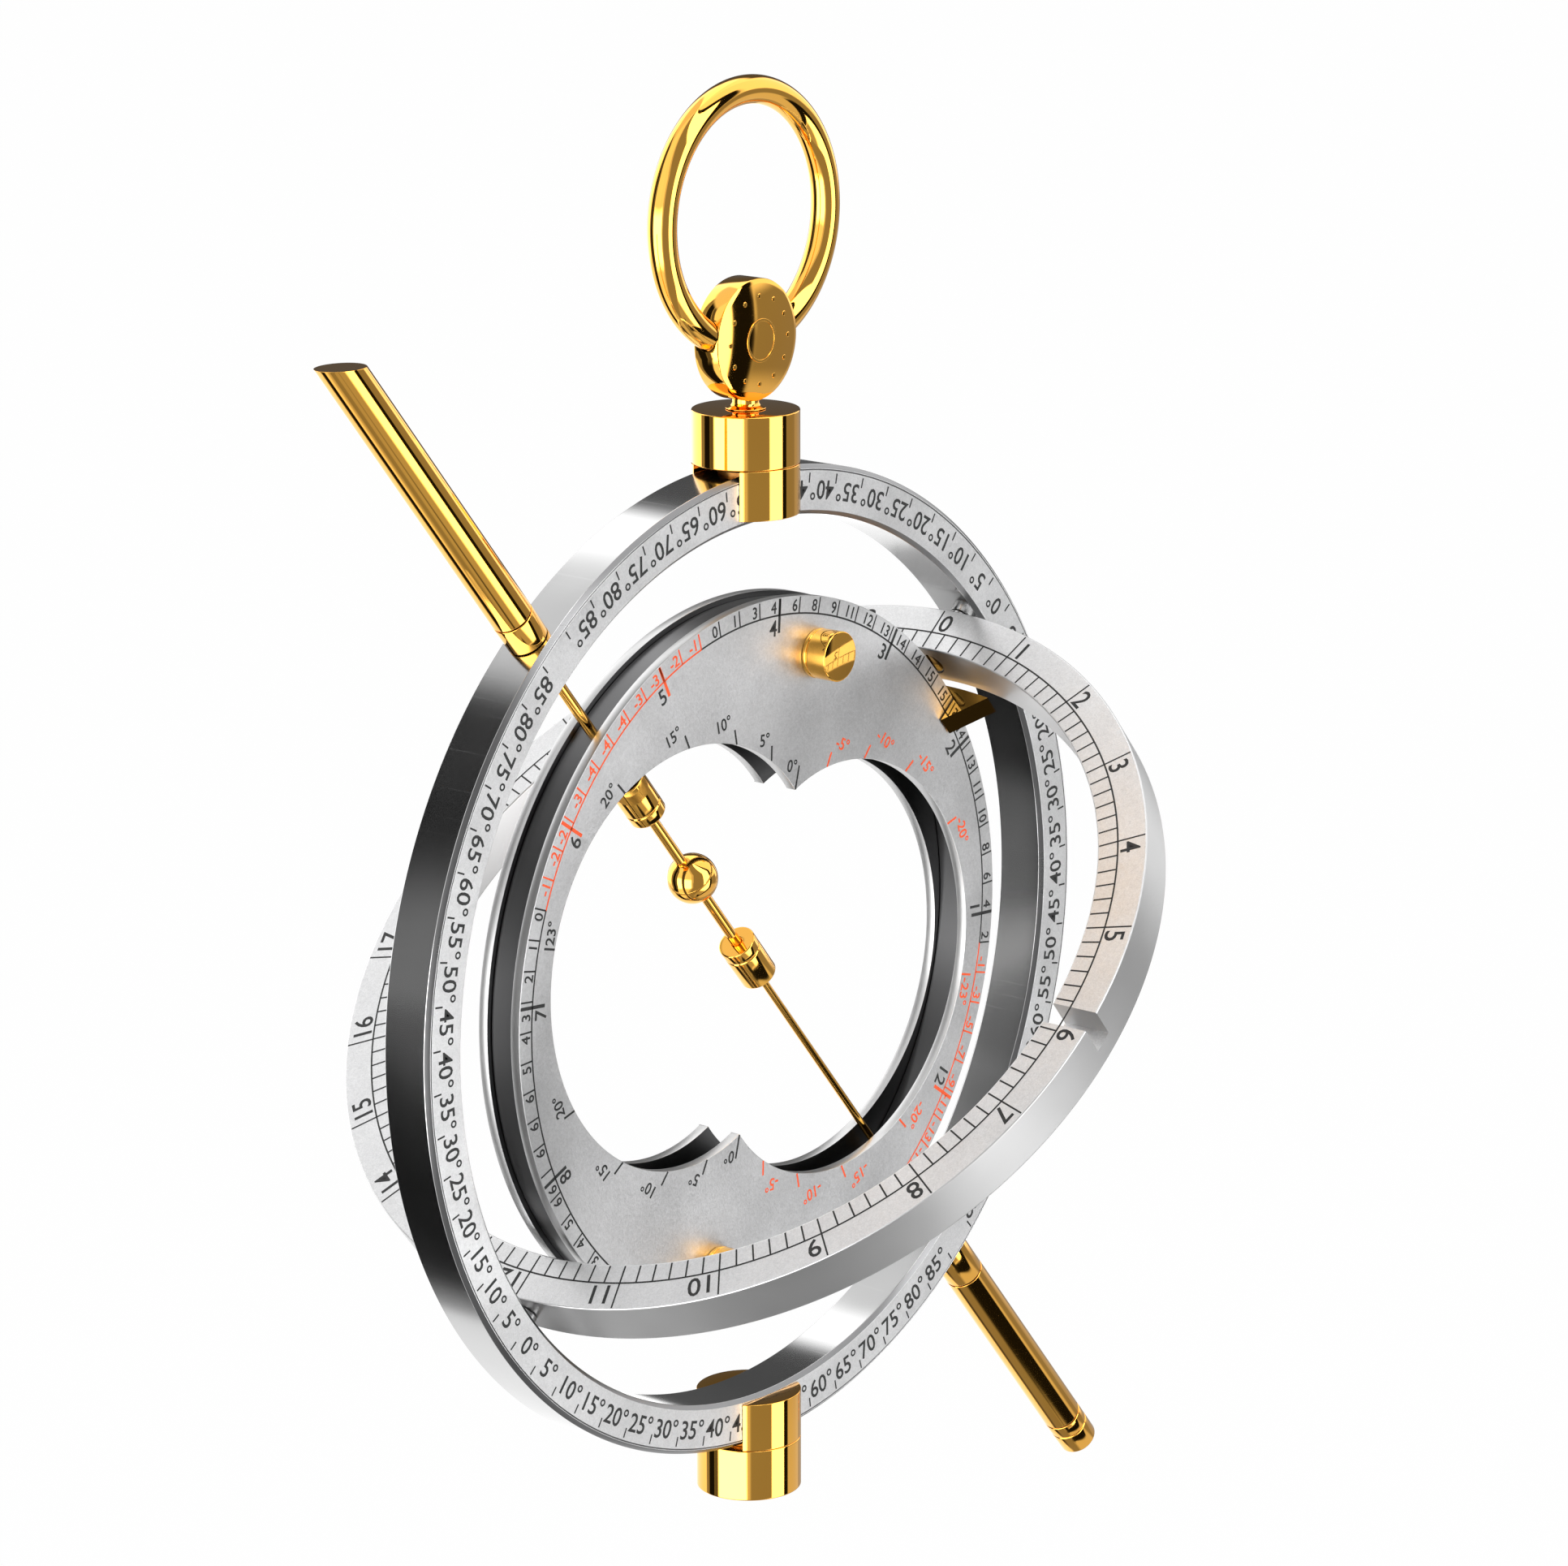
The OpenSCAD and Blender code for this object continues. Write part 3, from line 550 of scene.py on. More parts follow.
class Engraver:
    """Collects the lines and numbers of one scale, drawn on a flat face of a work frame."""

    def __init__(self, name, place, height, ink, sizes):
        self.name = name
        self.place = place
        self.height = height
        self.ink = ink
        self.sizes = sizes
        self.texts = []
        self.rings = []
        deselect()
        bpy.ops.mesh.primitive_cube_add(size=MM)
        self.lines = fresh(name + "_lines")
        bpy.ops.object.mode_set(mode="EDIT")
        bpy.ops.mesh.select_all(action="SELECT")
        bpy.ops.mesh.delete(type="VERT")
        bpy.ops.object.mode_set(mode="OBJECT")
        self.strokes = []

    def line(self, start, end, width):
        self.strokes.append((Vector(start), Vector(end), width))

    def radial(self, angle, r_in, r_out, width):
        way = Vector((math.cos(angle), math.sin(angle)))
        self.line(way * r_in, way * r_out, width)

    def arc(self, start, end, radius, width):
        """A curved line, drawn as short chords."""
        swing = (end - start + math.pi) % (2 * math.pi) - math.pi
        chords = 3
        points = [start + swing * part / chords for part in range(chords + 1)]
        spots = [Vector((math.cos(angle), math.sin(angle))) * radius for angle in points]
        for here, there in zip(spots, spots[1:]):
            overlap = (there - here).normalized() * width * 0.1
            self.line(here - overlap, there + overlap, width)

    def beside(self, text, angle, foot, height, leading, more=0.0):
        """A number that stands upright on a radius and ends just before a line, or starts just after it."""
        gap = NUMBER_GAP + more
        out = Vector((math.cos(angle), math.sin(angle))) * foot
        along = Vector((math.sin(angle), -math.cos(angle)))
        where = out - along * gap if leading else out + along * gap
        self.number(text, where, angle - math.pi / 2, height, "RIGHT" if leading else "LEFT")

    def circle(self, radius, width):
        outline = ring_outline(radius - width / 2, radius + width / 2, 0, self.sizes.inlay)
        self.rings.append(turned(self.name + "_circle", outline, Matrix.Identity(4), closed=True))

    def number(self, text, where, angle, height, align="CENTER"):
        """A number with its foot at a point, read along an angle."""
        deselect()
        bpy.ops.object.text_add(location=(where[0], where[1], 0), rotation=(0, 0, angle))
        words = bpy.context.active_object
        words.data.body = text
        words.data.size = height / 0.72
        words.data.align_x = align
        words.data.offset = self.sizes.spread
        words.data.extrude = self.sizes.inlay / 2
        words.data.resolution_u = 3
        words.location.z = self.sizes.inlay / 2
        self.texts.append(words)

    def done(self, body, lift=0.0):
        """All strokes, circles and numbers as one inlaid piece."""
        only(self.lines)
        bpy.ops.object.mode_set(mode="EDIT")
        for start, end, width in self.strokes:
            middle = (start + end) / 2
            along = end - start
            bpy.ops.mesh.primitive_cube_add(
                size=1, location=(middle.x, middle.y, self.sizes.inlay / 2),
                rotation=(0, 0, math.atan2(along.y, along.x)), scale=(along.length, width, self.sizes.inlay))
        bpy.ops.object.mode_set(mode="OBJECT")
        parts = [self.lines] + self.rings
        if self.texts:
            deselect()
            for words in self.texts:
                words.select_set(True)
            bpy.context.view_layer.objects.active = self.texts[0]
            bpy.ops.object.convert(target="MESH")
            parts += self.texts
        piece = gathered(self.name, parts)
        only(piece)
        bpy.ops.object.transform_apply(location=True, rotation=True, scale=True)
        settle(piece, self.place @ Matrix.Translation((0, 0, self.height + lift)))
        finish_with(piece, self.ink)
        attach(piece, body)
        return piece


def declination(longitude):
    """Sun's declination at a solar longitude, both in radians."""
    return math.asin(math.sin(OBLIQUITY) * math.sin(longitude))


def solar_longitude(day):
    """Sun's longitude in radians on a day of the year."""
    mean = 2 * math.pi * (day - EQUINOX_DAY) / DAYS
    return mean + ECCENTRIC_SWING * (math.sin(mean - PERIHELION) + math.sin(PERIHELION))


def clock_correction(day):
    """Minutes by which a clock is ahead of the sun on a day of the year."""
    turn = 2 * math.pi * (day - 81) / 364
    return -(9.87 * math.sin(2 * turn) - 7.53 * math.cos(turn) - 1.5 * math.sin(turn))


def cam_radius(rings, longitude):
    lift = (rings.cam_wide_r - rings.cam_neck_r) / math.tan(OBLIQUITY)
    return rings.cam_neck_r + lift * math.tan(abs(declination(longitude)))


class Maker(bpy.types.Operator):
    """Base of the dial's operators."""

    bl_options = {"REGISTER", "UNDO"}

    def execute(self, context):
        self.make(context.scene.sundial)
        return {"FINISHED"}


class SUNDIAL_OT_finishes(Maker):
    """Make every finish and dress the pieces that stay as packed"""

    bl_idname = "sundial.finishes"
    bl_label = "Finishes"

    def make(self, dial):
        make_finishes(dial.colours)
        kept = {
            "gold": ["swivel_washer", "swivel_nut", "top_slider_screws", "bottom_slider_screws",
                     "index_screw"],
            "bronze": ["axle_bushes", "top_slider_pad", "bottom_slider_pad", "front_clamp_shoes",
                       "rear_clamp_shoes"],
            "spring": ["top_slider_spring", "bottom_slider_spring"],
        }
        for finish, nodes in kept.items():
            for node in nodes:
                finish_with(frame["nodes"][node], finish)


class SUNDIAL_OT_suspension(Maker):
    """Turn the suspension ring and the bail disc that runs on it"""

    bl_idname = "sundial.suspension"
    bl_label = "Suspension"

    def make(self, dial):
        fittings = dial.fittings
        hoop_z = (HOOP_LOW.z + HOOP_HIGH.z) / 2
        hoop_place = Matrix.Translation((0, 0, hoop_z)) @ Matrix.Rotation(math.radians(90), 4, "X")
        hoop = self.hoop("suspension_hoop", fittings, fittings.hoop_wire_r, hoop_place, 320, 72)
        gilded(hoop, "suspension", "suspension_ring", 60)

        bail_r = BAIL_HIGH.x
        bail_z = BAIL_HIGH.z - bail_r
        half_t = BAIL_HIGH.y
        disc_place = Matrix.Translation((0, 0, bail_z)) @ Matrix.Rotation(math.radians(90), 4, "X")
        parts = 12
        shares = [part / parts for part in range(parts + 1)]
        crown = [(bail_r * share, half_t - fittings.bail_crown * share ** 2) for share in shares]
        outline = [(r, -h) for r, h in crown] + [(r, h) for r, h in reversed(crown)]
        disc = turned("bail", outline, disc_place, steps=200)
        chamfer(disc, fittings.bevel, 50)
        cap_top = CAP_HIGH.z
        foot_r = 1.82 * MM
        waist_r = 1.2 * MM
        neck_low = cap_top + 0.05 * MM
        neck_high = cap_top + 2 * MM
        profile = [(0, neck_low), (foot_r, neck_low), (foot_r, cap_top + 0.12 * MM),
                   (waist_r + 0.15 * MM, cap_top + 0.32 * MM), (waist_r, cap_top + 0.55 * MM),
                   (waist_r, neck_high), (0, neck_high)]
        neck = turned("neck", profile, Matrix.Identity(4), 0.05 * MM, steps=96)
        stud = bore("stud", 0.8 * MM, BAIL_LOW.z, cap_top + 0.3 * MM, Matrix.Identity(4))
        combine(disc, neck, "UNION")
        combine(disc, stud, "UNION")
        cut(disc, self.hoop("hoop_bore", fittings, fittings.hoop_wire_r + 0.05 * MM, hoop_place, 320, 48))
        gilded(disc, "bail", "bail_disc")
        self.rosette(disc_place, half_t, bail_r, fittings.bail_crown)

    def hoop(self, name, fittings, wire_r, place, steps, sides):
        angles = [2 * math.pi * side / sides for side in range(sides)]
        circle = [(fittings.hoop_r + wire_r * math.cos(angle), wire_r * math.sin(angle)) for angle in angles]
        return turned(name, circle, place, closed=True, steps=steps)

    def rosette(self, place, half_t, bail_r, crown):
        """A plain ring of raised dots round a raised circle, in place of lettering."""
        dot_at = 3.9 * MM
        band_r = 1.7 * MM
        dot_h = half_t - crown * (dot_at / bail_r) ** 2 - 0.02 * MM
        band_h = half_t - crown * (band_r / bail_r) ** 2 - 0.04 * MM
        dot_count = 12
        dome = [(0, 0), (0.26 * MM, 0), (0.2 * MM, 0.07 * MM), (0, 0.1 * MM)]
        dots = []
        for turn in range(dot_count):
            angle = 2 * math.pi * turn / dot_count
            spot = Matrix.Translation((dot_at * math.cos(angle), dot_at * math.sin(angle), dot_h))
            dots.append(turned("dot", dome, spot, steps=20))
        band = turned("band", ring_outline(band_r, band_r + 0.25 * MM, band_h, band_h + 0.08 * MM),
                      Matrix.Identity(4), 0.03 * MM, closed=True, steps=96)
        piece = gathered("bail_rosette", dots + [band])
        settle(piece, place)
        smooth(piece, 40)
        finish_with(piece, "gold")
        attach(piece, "bail")


class SUNDIAL_OT_sliders(Maker):
    """Turn the two sliders with their split jaws"""

    bl_idname = "sundial.sliders"
    bl_label = "Sliders"

    def make(self, dial):
        self.slider("top", CENTRE, "top_slider", dial.fittings)
        self.slider("bottom", UPSIDE_DOWN, "bottom_slider", dial.fittings)

    def slider(self, where, place, body, fittings):
        cap_low = CAP_LOW.z - CENTRE_Z
        cap_top = CAP_HIGH.z - CENTRE_Z
        cap = turned(where + "_cap", rod_outline(fittings.slider_r, cap_low, cap_top), place, fittings.bevel)
        if where == "top":
            cut(cap, bore("swivel_bore", 0.85 * MM, cap_low - MM, cap_top + MM, place))
        gilded(cap, body, where + "_slider_cap")
        seam = 0.03 * MM
        outline = rod_outline(fittings.slider_r, fittings.jaw_end, cap_low - seam)
        jaws = turned(where + "_jaws", outline, place, fittings.bevel * 0.6)
        wide = 2 * fittings.slider_r
        half = fittings.slot_half
        cut(jaws, block("slot", (-wide, -half, fittings.jaw_end - MM), (wide, half, cap_top), place))
        chamfer(jaws, 0.05 * MM)
        gilded(jaws, body, where + "_slider_jaws")


class SUNDIAL_OT_meridian(Maker):
    """Turn the meridian ring and engrave its degrees"""

    bl_idname = "sundial.meridian"
    bl_label = "Meridian Ring"

    def make(self, dial):
        rings = dial.rings
        scales = dial.scales
        half_w = rings.meridian_w / 2
        side_h = half_w - rings.meridian_bevel
        band_in = rings.meridian_in_r + rings.meridian_bevel
        band_out = rings.meridian_r - rings.meridian_bevel
        groove_in = rings.groove_r - rings.groove_w / 2
        groove_out = rings.groove_r + rings.groove_w / 2
        floor = half_w - rings.groove_depth
        half = [(rings.meridian_r, side_h), (band_out, half_w), (groove_out, half_w),
                (rings.groove_r, floor), (groove_in, half_w), (band_in, half_w),
                (rings.meridian_in_r, side_h)]
        outline = half + [(r, -h) for r, h in reversed(half)]
        ring = turned("meridian_circle", outline, FRONT, 0.03 * MM, closed=True, steps=512)
        bush_r = 1.65 * MM
        for pole in (POLAR, LOWER_POLAR):
            cut(ring, bore("bush_bore", bush_r, rings.meridian_in_r - MM, rings.meridian_r + MM, pole, 96))
        face_and_rim(ring, Vector((0, 1, 0)))
        # Slot 2 is the dark carrier steel, laid in the fine groove as painted shade
        ring.data.materials.append(FINISHES["dark"])
        ring.data.materials.append(FINISHES["bevel"])
        edge = 0.05 * MM
        for polygon in ring.data.polygons:
            radius = math.hypot(polygon.center.x, polygon.center.z - CENTRE_Z)
            on_bevel = not band_in < radius < band_out
            # Bevel faces take the darkened rim steel, a painted dark reflection
            if abs(polygon.center.y) > side_h + edge and on_bevel:
                polygon.material_index = 3
            # The groove's walls and floor take the dark carrier steel: painted shade in the groove
            elif groove_in < radius < groove_out and abs(polygon.center.y) > side_h:
                polygon.material_index = 2
        smooth(ring)
        stand_for(ring, "meridian", "meridian_ring")
        self.degrees("meridian_degrees_front", FRONT, 1, half_w, band_in, groove_in, scales)
        self.degrees("meridian_degrees_back", BACK, -1, half_w, band_in, groove_in, scales)

    def degrees(self, name, place, side, half_w, band_in, groove_in, scales):
        """Latitude scale: 0 at the hour-0 axis, rising to 90 at each pole, then falling again."""
        zero = math.degrees(math.atan2(POLE.z, POLE.x)) - 90
        engraver = Engraver(name, place, half_w, "ink", scales)
        foot_r = (band_in + groove_in + scales.degree_h) / 2
        for degree in range(0, 360, scales.degree_step):
            angle = zero + degree
            if side < 0:
                angle = 180 - angle
            angle = math.radians(angle)
            latitude = abs((degree + 90) % 180 - 90)
            if latitude < 90:
                where = (foot_r * math.cos(angle), foot_r * math.sin(angle))
                engraver.number(f"{latitude}°", where, angle + math.pi / 2, scales.degree_h)
            between = angle + math.radians(scales.degree_step / 2)
            engraver.radial(between, groove_in - 1.1 * MM, groove_in - 0.2 * MM, scales.line_w)
        engraver.done("meridian")


class SUNDIAL_OT_hour_ring(Maker):
    """Turn the hour ring, cut its notches, set its pivots and engrave the hours"""

    bl_idname = "sundial.hour_ring"
    bl_label = "Hour Ring"

    def make(self, dial):
        rings = dial.rings
        scales = dial.scales
        half_t = rings.hour_t / 2
        ring = turned("hour_circle", ring_outline(rings.hour_in_r, rings.hour_r, -half_t, half_t), POLAR,
                      rings.bevel, closed=True, steps=512)
        half_n = rings.notch_w / 2
        low = (-half_n, -rings.hour_r - MM, -rings.notch_floor)
        high = (half_n, -rings.hour_in_r + MM, rings.hour_t)
        turn_over = Matrix.Rotation(math.radians(180), 4, "X")
        cut(ring, block("notch_6", low, high, POLAR), block("notch_18", low, high, POLAR @ turn_over))
        inside = rings.hour_in_r - MM
        for end in self.ends():
            cut(ring, bore("pivot_bore", 0.85 * MM, inside, rings.hour_r + MM, end),
                bore("head_bore", 1.35 * MM, inside, rings.hour_in_r + 1.2 * MM, end))
        chamfer(ring, 0.06 * MM)
        face_and_rim(ring, POLE, rim="edge")
        smooth(ring)
        stand_for(ring, "hour_circle", "hour_ring")
        self.hours(half_t, rings, scales)
        self.pivots(rings)

    def ends(self):
        """Frames along the hour-0 and the hour-12 pivot."""
        return [POLAR @ Matrix.Rotation(math.radians(turn), 4, "Y") for turn in (90, -90)]

    def pivots(self, rings):
        head_r = 1.25 * MM
        shank_r = 0.8 * MM
        thread_r = 0.6 * MM
        start = rings.hour_in_r + 0.1 * MM
        neck = start + MM
        stop = rings.meridian_in_r - 0.1 * MM
        tip = stop + 2.4 * MM
        profile = [(0, start), (head_r, start), (head_r, neck), (shank_r, neck), (shank_r, stop),
                   (thread_r, stop), (thread_r, tip), (0, tip)]
        slot_low = (-2 * MM, -0.15 * MM, start - MM)
        slot_high = (2 * MM, 0.15 * MM, start + 0.4 * MM)
        seat = 0.05 * MM
        outline = ring_outline(0.82 * MM, 1.15 * MM, rings.hour_r + seat, rings.meridian_in_r - seat)
        screws = []
        washers = []
        for end in self.ends():
            screw = turned("screw", profile, end, 0.08 * MM, steps=96)
            cut(screw, block("slot", slot_low, slot_high, end))
            screws.append(screw)
            washers.append(turned("washer", outline, end, 0.1 * MM, closed=True, steps=96))
        for name, parts, node in (("pivot_screws", screws, "hour_pivot_screws"),
                                  ("pivot_washers", washers, "hour_pivot_washers")):
            piece = gathered(name, parts)
            smooth(piece)
            finish_with(piece, "rim")
            stand_for(piece, "meridian", node)

    def hours(self, half_t, rings, scales):
        engraver = Engraver("hour_scale", POLAR, half_t, "ink", scales)
        engraver.circle(scales.hour_line_r, scales.line_w)
        inner = rings.hour_in_r + rings.bevel
        outer = rings.hour_r - rings.bevel
        per_hour = 6
        notched_hour = 6
        for tick in range(24 * per_hour):
            angle = -2 * math.pi * tick / (24 * per_hour)
            hour, part = divmod(tick, per_hour)
            if part:
                engraver.radial(angle, inner, scales.hour_line_r, scales.line_w)
                continue
            if hour != notched_hour:
                engraver.radial(angle, inner, outer, scales.line_w)
            start = rings.notch_w / 2 + 0.15 * MM if hour == notched_hour else 0.3 * MM
            foot = scales.hour_line_r + 0.25 * MM
            engraver.beside(str(hour), angle, foot, scales.hour_h, False, start - NUMBER_GAP)
        engraver.done("hour_circle")


class SUNDIAL_OT_date_disc(Maker):
    """Turn the carrier ring and the two date plates, with knobs and date scales"""

    bl_idname = "sundial.date_disc"
    bl_label = "Date Disc"

    def make(self, dial):
        rings = dial.rings
        fittings = dial.fittings
        scales = dial.scales
        carrier_h = rings.plate_in_y - 0.05 * MM
        outline = ring_outline(rings.carrier_in_r, rings.carrier_r, -carrier_h, carrier_h)
        carrier = turned("carrier", outline, DISC, 0.05 * MM, closed=True, steps=512)
        smooth(carrier)
        finish_with(carrier, "dark")
        stand_for(carrier, "polar_axle", "carrier_ring")
        zero = 90 - scales.sun_longitude
        for where, place, side in (("front", DISC, 1), ("rear", DISC_BACK, -1)):
            self.plate(where, place, side, zero, rings)
            self.knobs(where, place, side, zero, rings, fittings)
            self.dates(where, place, side, zero, rings, scales)

    def angle(self, side, zero, longitude):
        """Angle on a face at which a solar longitude stands; the rear face is mirrored."""
        turn = math.radians(zero) + longitude
        return turn if side > 0 else math.pi - turn

    def plate(self, where, place, side, zero, rings):
        """A ring between the rim and the cam, bridged and drawn up to its thickness."""
        points = 720
        loops = []
        for name in ("rim", "opening"):
            deselect()
            bpy.ops.mesh.primitive_circle_add(vertices=points, radius=MM, fill_type="NOTHING")
            loop = fresh(where + "_" + name)
            for vertex in loop.data.vertices:
                longitude = 2 * math.pi * vertex.index / points
                angle = self.angle(side, zero, longitude)
                radius = rings.disc_r if name == "rim" else cam_radius(rings, longitude)
                vertex.co = (radius * math.cos(angle), radius * math.sin(angle), rings.plate_in_y)
            loops.append(loop)
        plate = gathered(where + "_plate", loops)
        thickness = rings.plate_y - rings.plate_in_y
        bpy.ops.object.mode_set(mode="EDIT")
        bpy.ops.mesh.select_mode(type="EDGE")
        bpy.ops.mesh.select_all(action="SELECT")
        bpy.ops.mesh.bridge_edge_loops()
        bpy.ops.mesh.select_all(action="SELECT")
        bpy.ops.mesh.extrude_region_move(TRANSFORM_OT_translate={"value": (0, 0, thickness)})
        bpy.ops.mesh.select_all(action="SELECT")
        bpy.ops.mesh.normals_make_consistent(inside=False)
        bpy.ops.object.mode_set(mode="OBJECT")
        settle(plate, place)
        chamfer(plate, 0.06 * MM, 60)
        # The plates' faces take the darkened satin steel, painted shade
        face_and_rim(plate, Vector((0, 1, 0)), "plate", "edge")
        plate.data.materials.append(FINISHES["dark"])
        # The plates' inner faces, which look into the gap between the plates, take the dark carrier steel as
        # painted shade
        for polygon in plate.data.polygons:
            if abs(polygon.center.y) < rings.plate_in_y + 0.02 * MM:
                polygon.material_index = 2
        smooth(plate)
        stand_for(plate, where + "_date", where + "_date_plate")

    def knobs(self, where, place, side, zero, rings, fittings):
        base = rings.plate_y + 0.02 * MM
        top = base + fittings.knob_h
        outline = grooved_rod(fittings.knob_d / 2, base, top, base + 0.45 * MM)
        knobs = []
        for end in (0, math.pi):
            angle = self.angle(side, zero, end)
            across = Vector((math.cos(angle), math.sin(angle), 0)) * rings.knob_r
            spot = place @ Matrix.Translation(across)
            knob = turned("knob", outline, spot, fittings.bevel, steps=128)
            stud = bore("stud", 0.6 * MM, 0.45 * MM, base + MM, spot)
            combine(knob, stud, "UNION")
            knobs.append(knob)
        piece = gathered(where + "_date_knobs", knobs)
        gilded(piece, where + "_date", where + "_knobs")

    def dates(self, where, place, side, zero, rings, scales):
        """Date lines with the minutes of clock correction, months and declinations, red where negative."""
        black = Engraver(where + "_date_scale", place, rings.plate_y, "ink", scales)
        red = Engraver(where + "_date_scale_red", place, rings.plate_y, "red", scales)
        rim = rings.disc_r - 0.1 * MM
        foot = scales.date_line_r + 0.22 * MM
        first_days = (1, 32, 60, 91, 121, 152, 182, 213, 244, 274, 305, 335)
        days = list(range(1, DAYS + 1, scales.day_step))
        for day, following in zip(days, days[1:] + [DAYS + 1]):
            minutes = round(clock_correction(day))
            pen = red if minutes < 0 else black
            angle = self.angle(side, zero, solar_longitude(day))
            pen.radial(angle, scales.date_line_r, rim, scales.line_w)
            month_line = next((first for first in first_days if 0 <= first - day <= 2), None)
            beside = self.angle(side, zero, solar_longitude(month_line)) if month_line else angle
            gap = scales.bold_w / 2 if month_line else 0.0
            pen.beside(str(minutes), beside, foot, scales.minute_h, True, gap)
            end = self.angle(side, zero, solar_longitude(following))
            pen.arc(angle, end, scales.date_line_r, scales.line_w)
        for month, day in enumerate(first_days, 1):
            angle = self.angle(side, zero, solar_longitude(day))
            pen = red if round(clock_correction(day)) < 0 else black
            pen.radial(angle, scales.date_line_r - 1.6 * MM, rim, scales.bold_w)
            month_foot = scales.date_line_r - 0.35 * MM - scales.month_h
            black.beside(str(month), angle, month_foot, scales.month_h, True)
        for degree in (0, 5, 10, 15, 20, 23):
            self.declinations(black, red, degree, side, zero, rings, scales)
        black.done(where + "_date")
        red.done(where + "_date")

    def declinations(self, black, red, degree, side, zero, rings, scales):
        """Declination lines at the edge of the opening, each with its number away from the neck."""
        reach = math.asin(min(1.0, math.sin(math.radians(degree)) / math.sin(OBLIQUITY)))
        quarter = math.pi / 2
        special = {0: (0, math.pi), 23: (quarter, -quarter)}
        places = special.get(degree, (reach, math.pi - reach, -reach, reach - math.pi))
        for longitude in places:
            pen = red if math.sin(longitude) < -1e-6 else black
            angle = self.angle(side, zero, longitude)
            edge = cam_radius(rings, longitude) + 0.06 * MM
            line_l = 2.2 * MM if degree == 0 else 1.4 * MM
            line_l = min(line_l, scales.date_line_r - 0.25 * MM - edge)
            pen.radial(angle, edge, edge + line_l, scales.line_w * 1.3)
            text = f"{'-' if pen is red else ''}{degree}°"
            leading = (math.sin(2 * longitude) > 1e-6 or longitude == 0) == (side > 0)
            clear = self.clear_of_opening(text, angle, leading, side, zero, rings, scales)
            foot = min(clear + 0.3 * MM, scales.date_line_r - 0.3 * MM - scales.declination_h)
            pen.beside(text, angle, foot, scales.declination_h, leading)

    def clear_of_opening(self, text, angle, leading, side, zero, rings, scales):
        """Distance from the disc's centre at which the whole foot of a number lies on the plate."""
        letter_share = 0.62
        width = letter_share * scales.declination_h * len(text) + NUMBER_GAP
        steps = 6
        clear = 0
        for step in range(steps + 1):
            across = width * step / steps
            turn = math.atan2(across, rings.cam_neck_r) * (1 if leading else -1)
            there = angle + turn
            longitude = (there if side > 0 else math.pi - there) - math.radians(zero)
            clear = max(clear, math.sqrt(cam_radius(rings, longitude) ** 2 - across ** 2))
        return clear


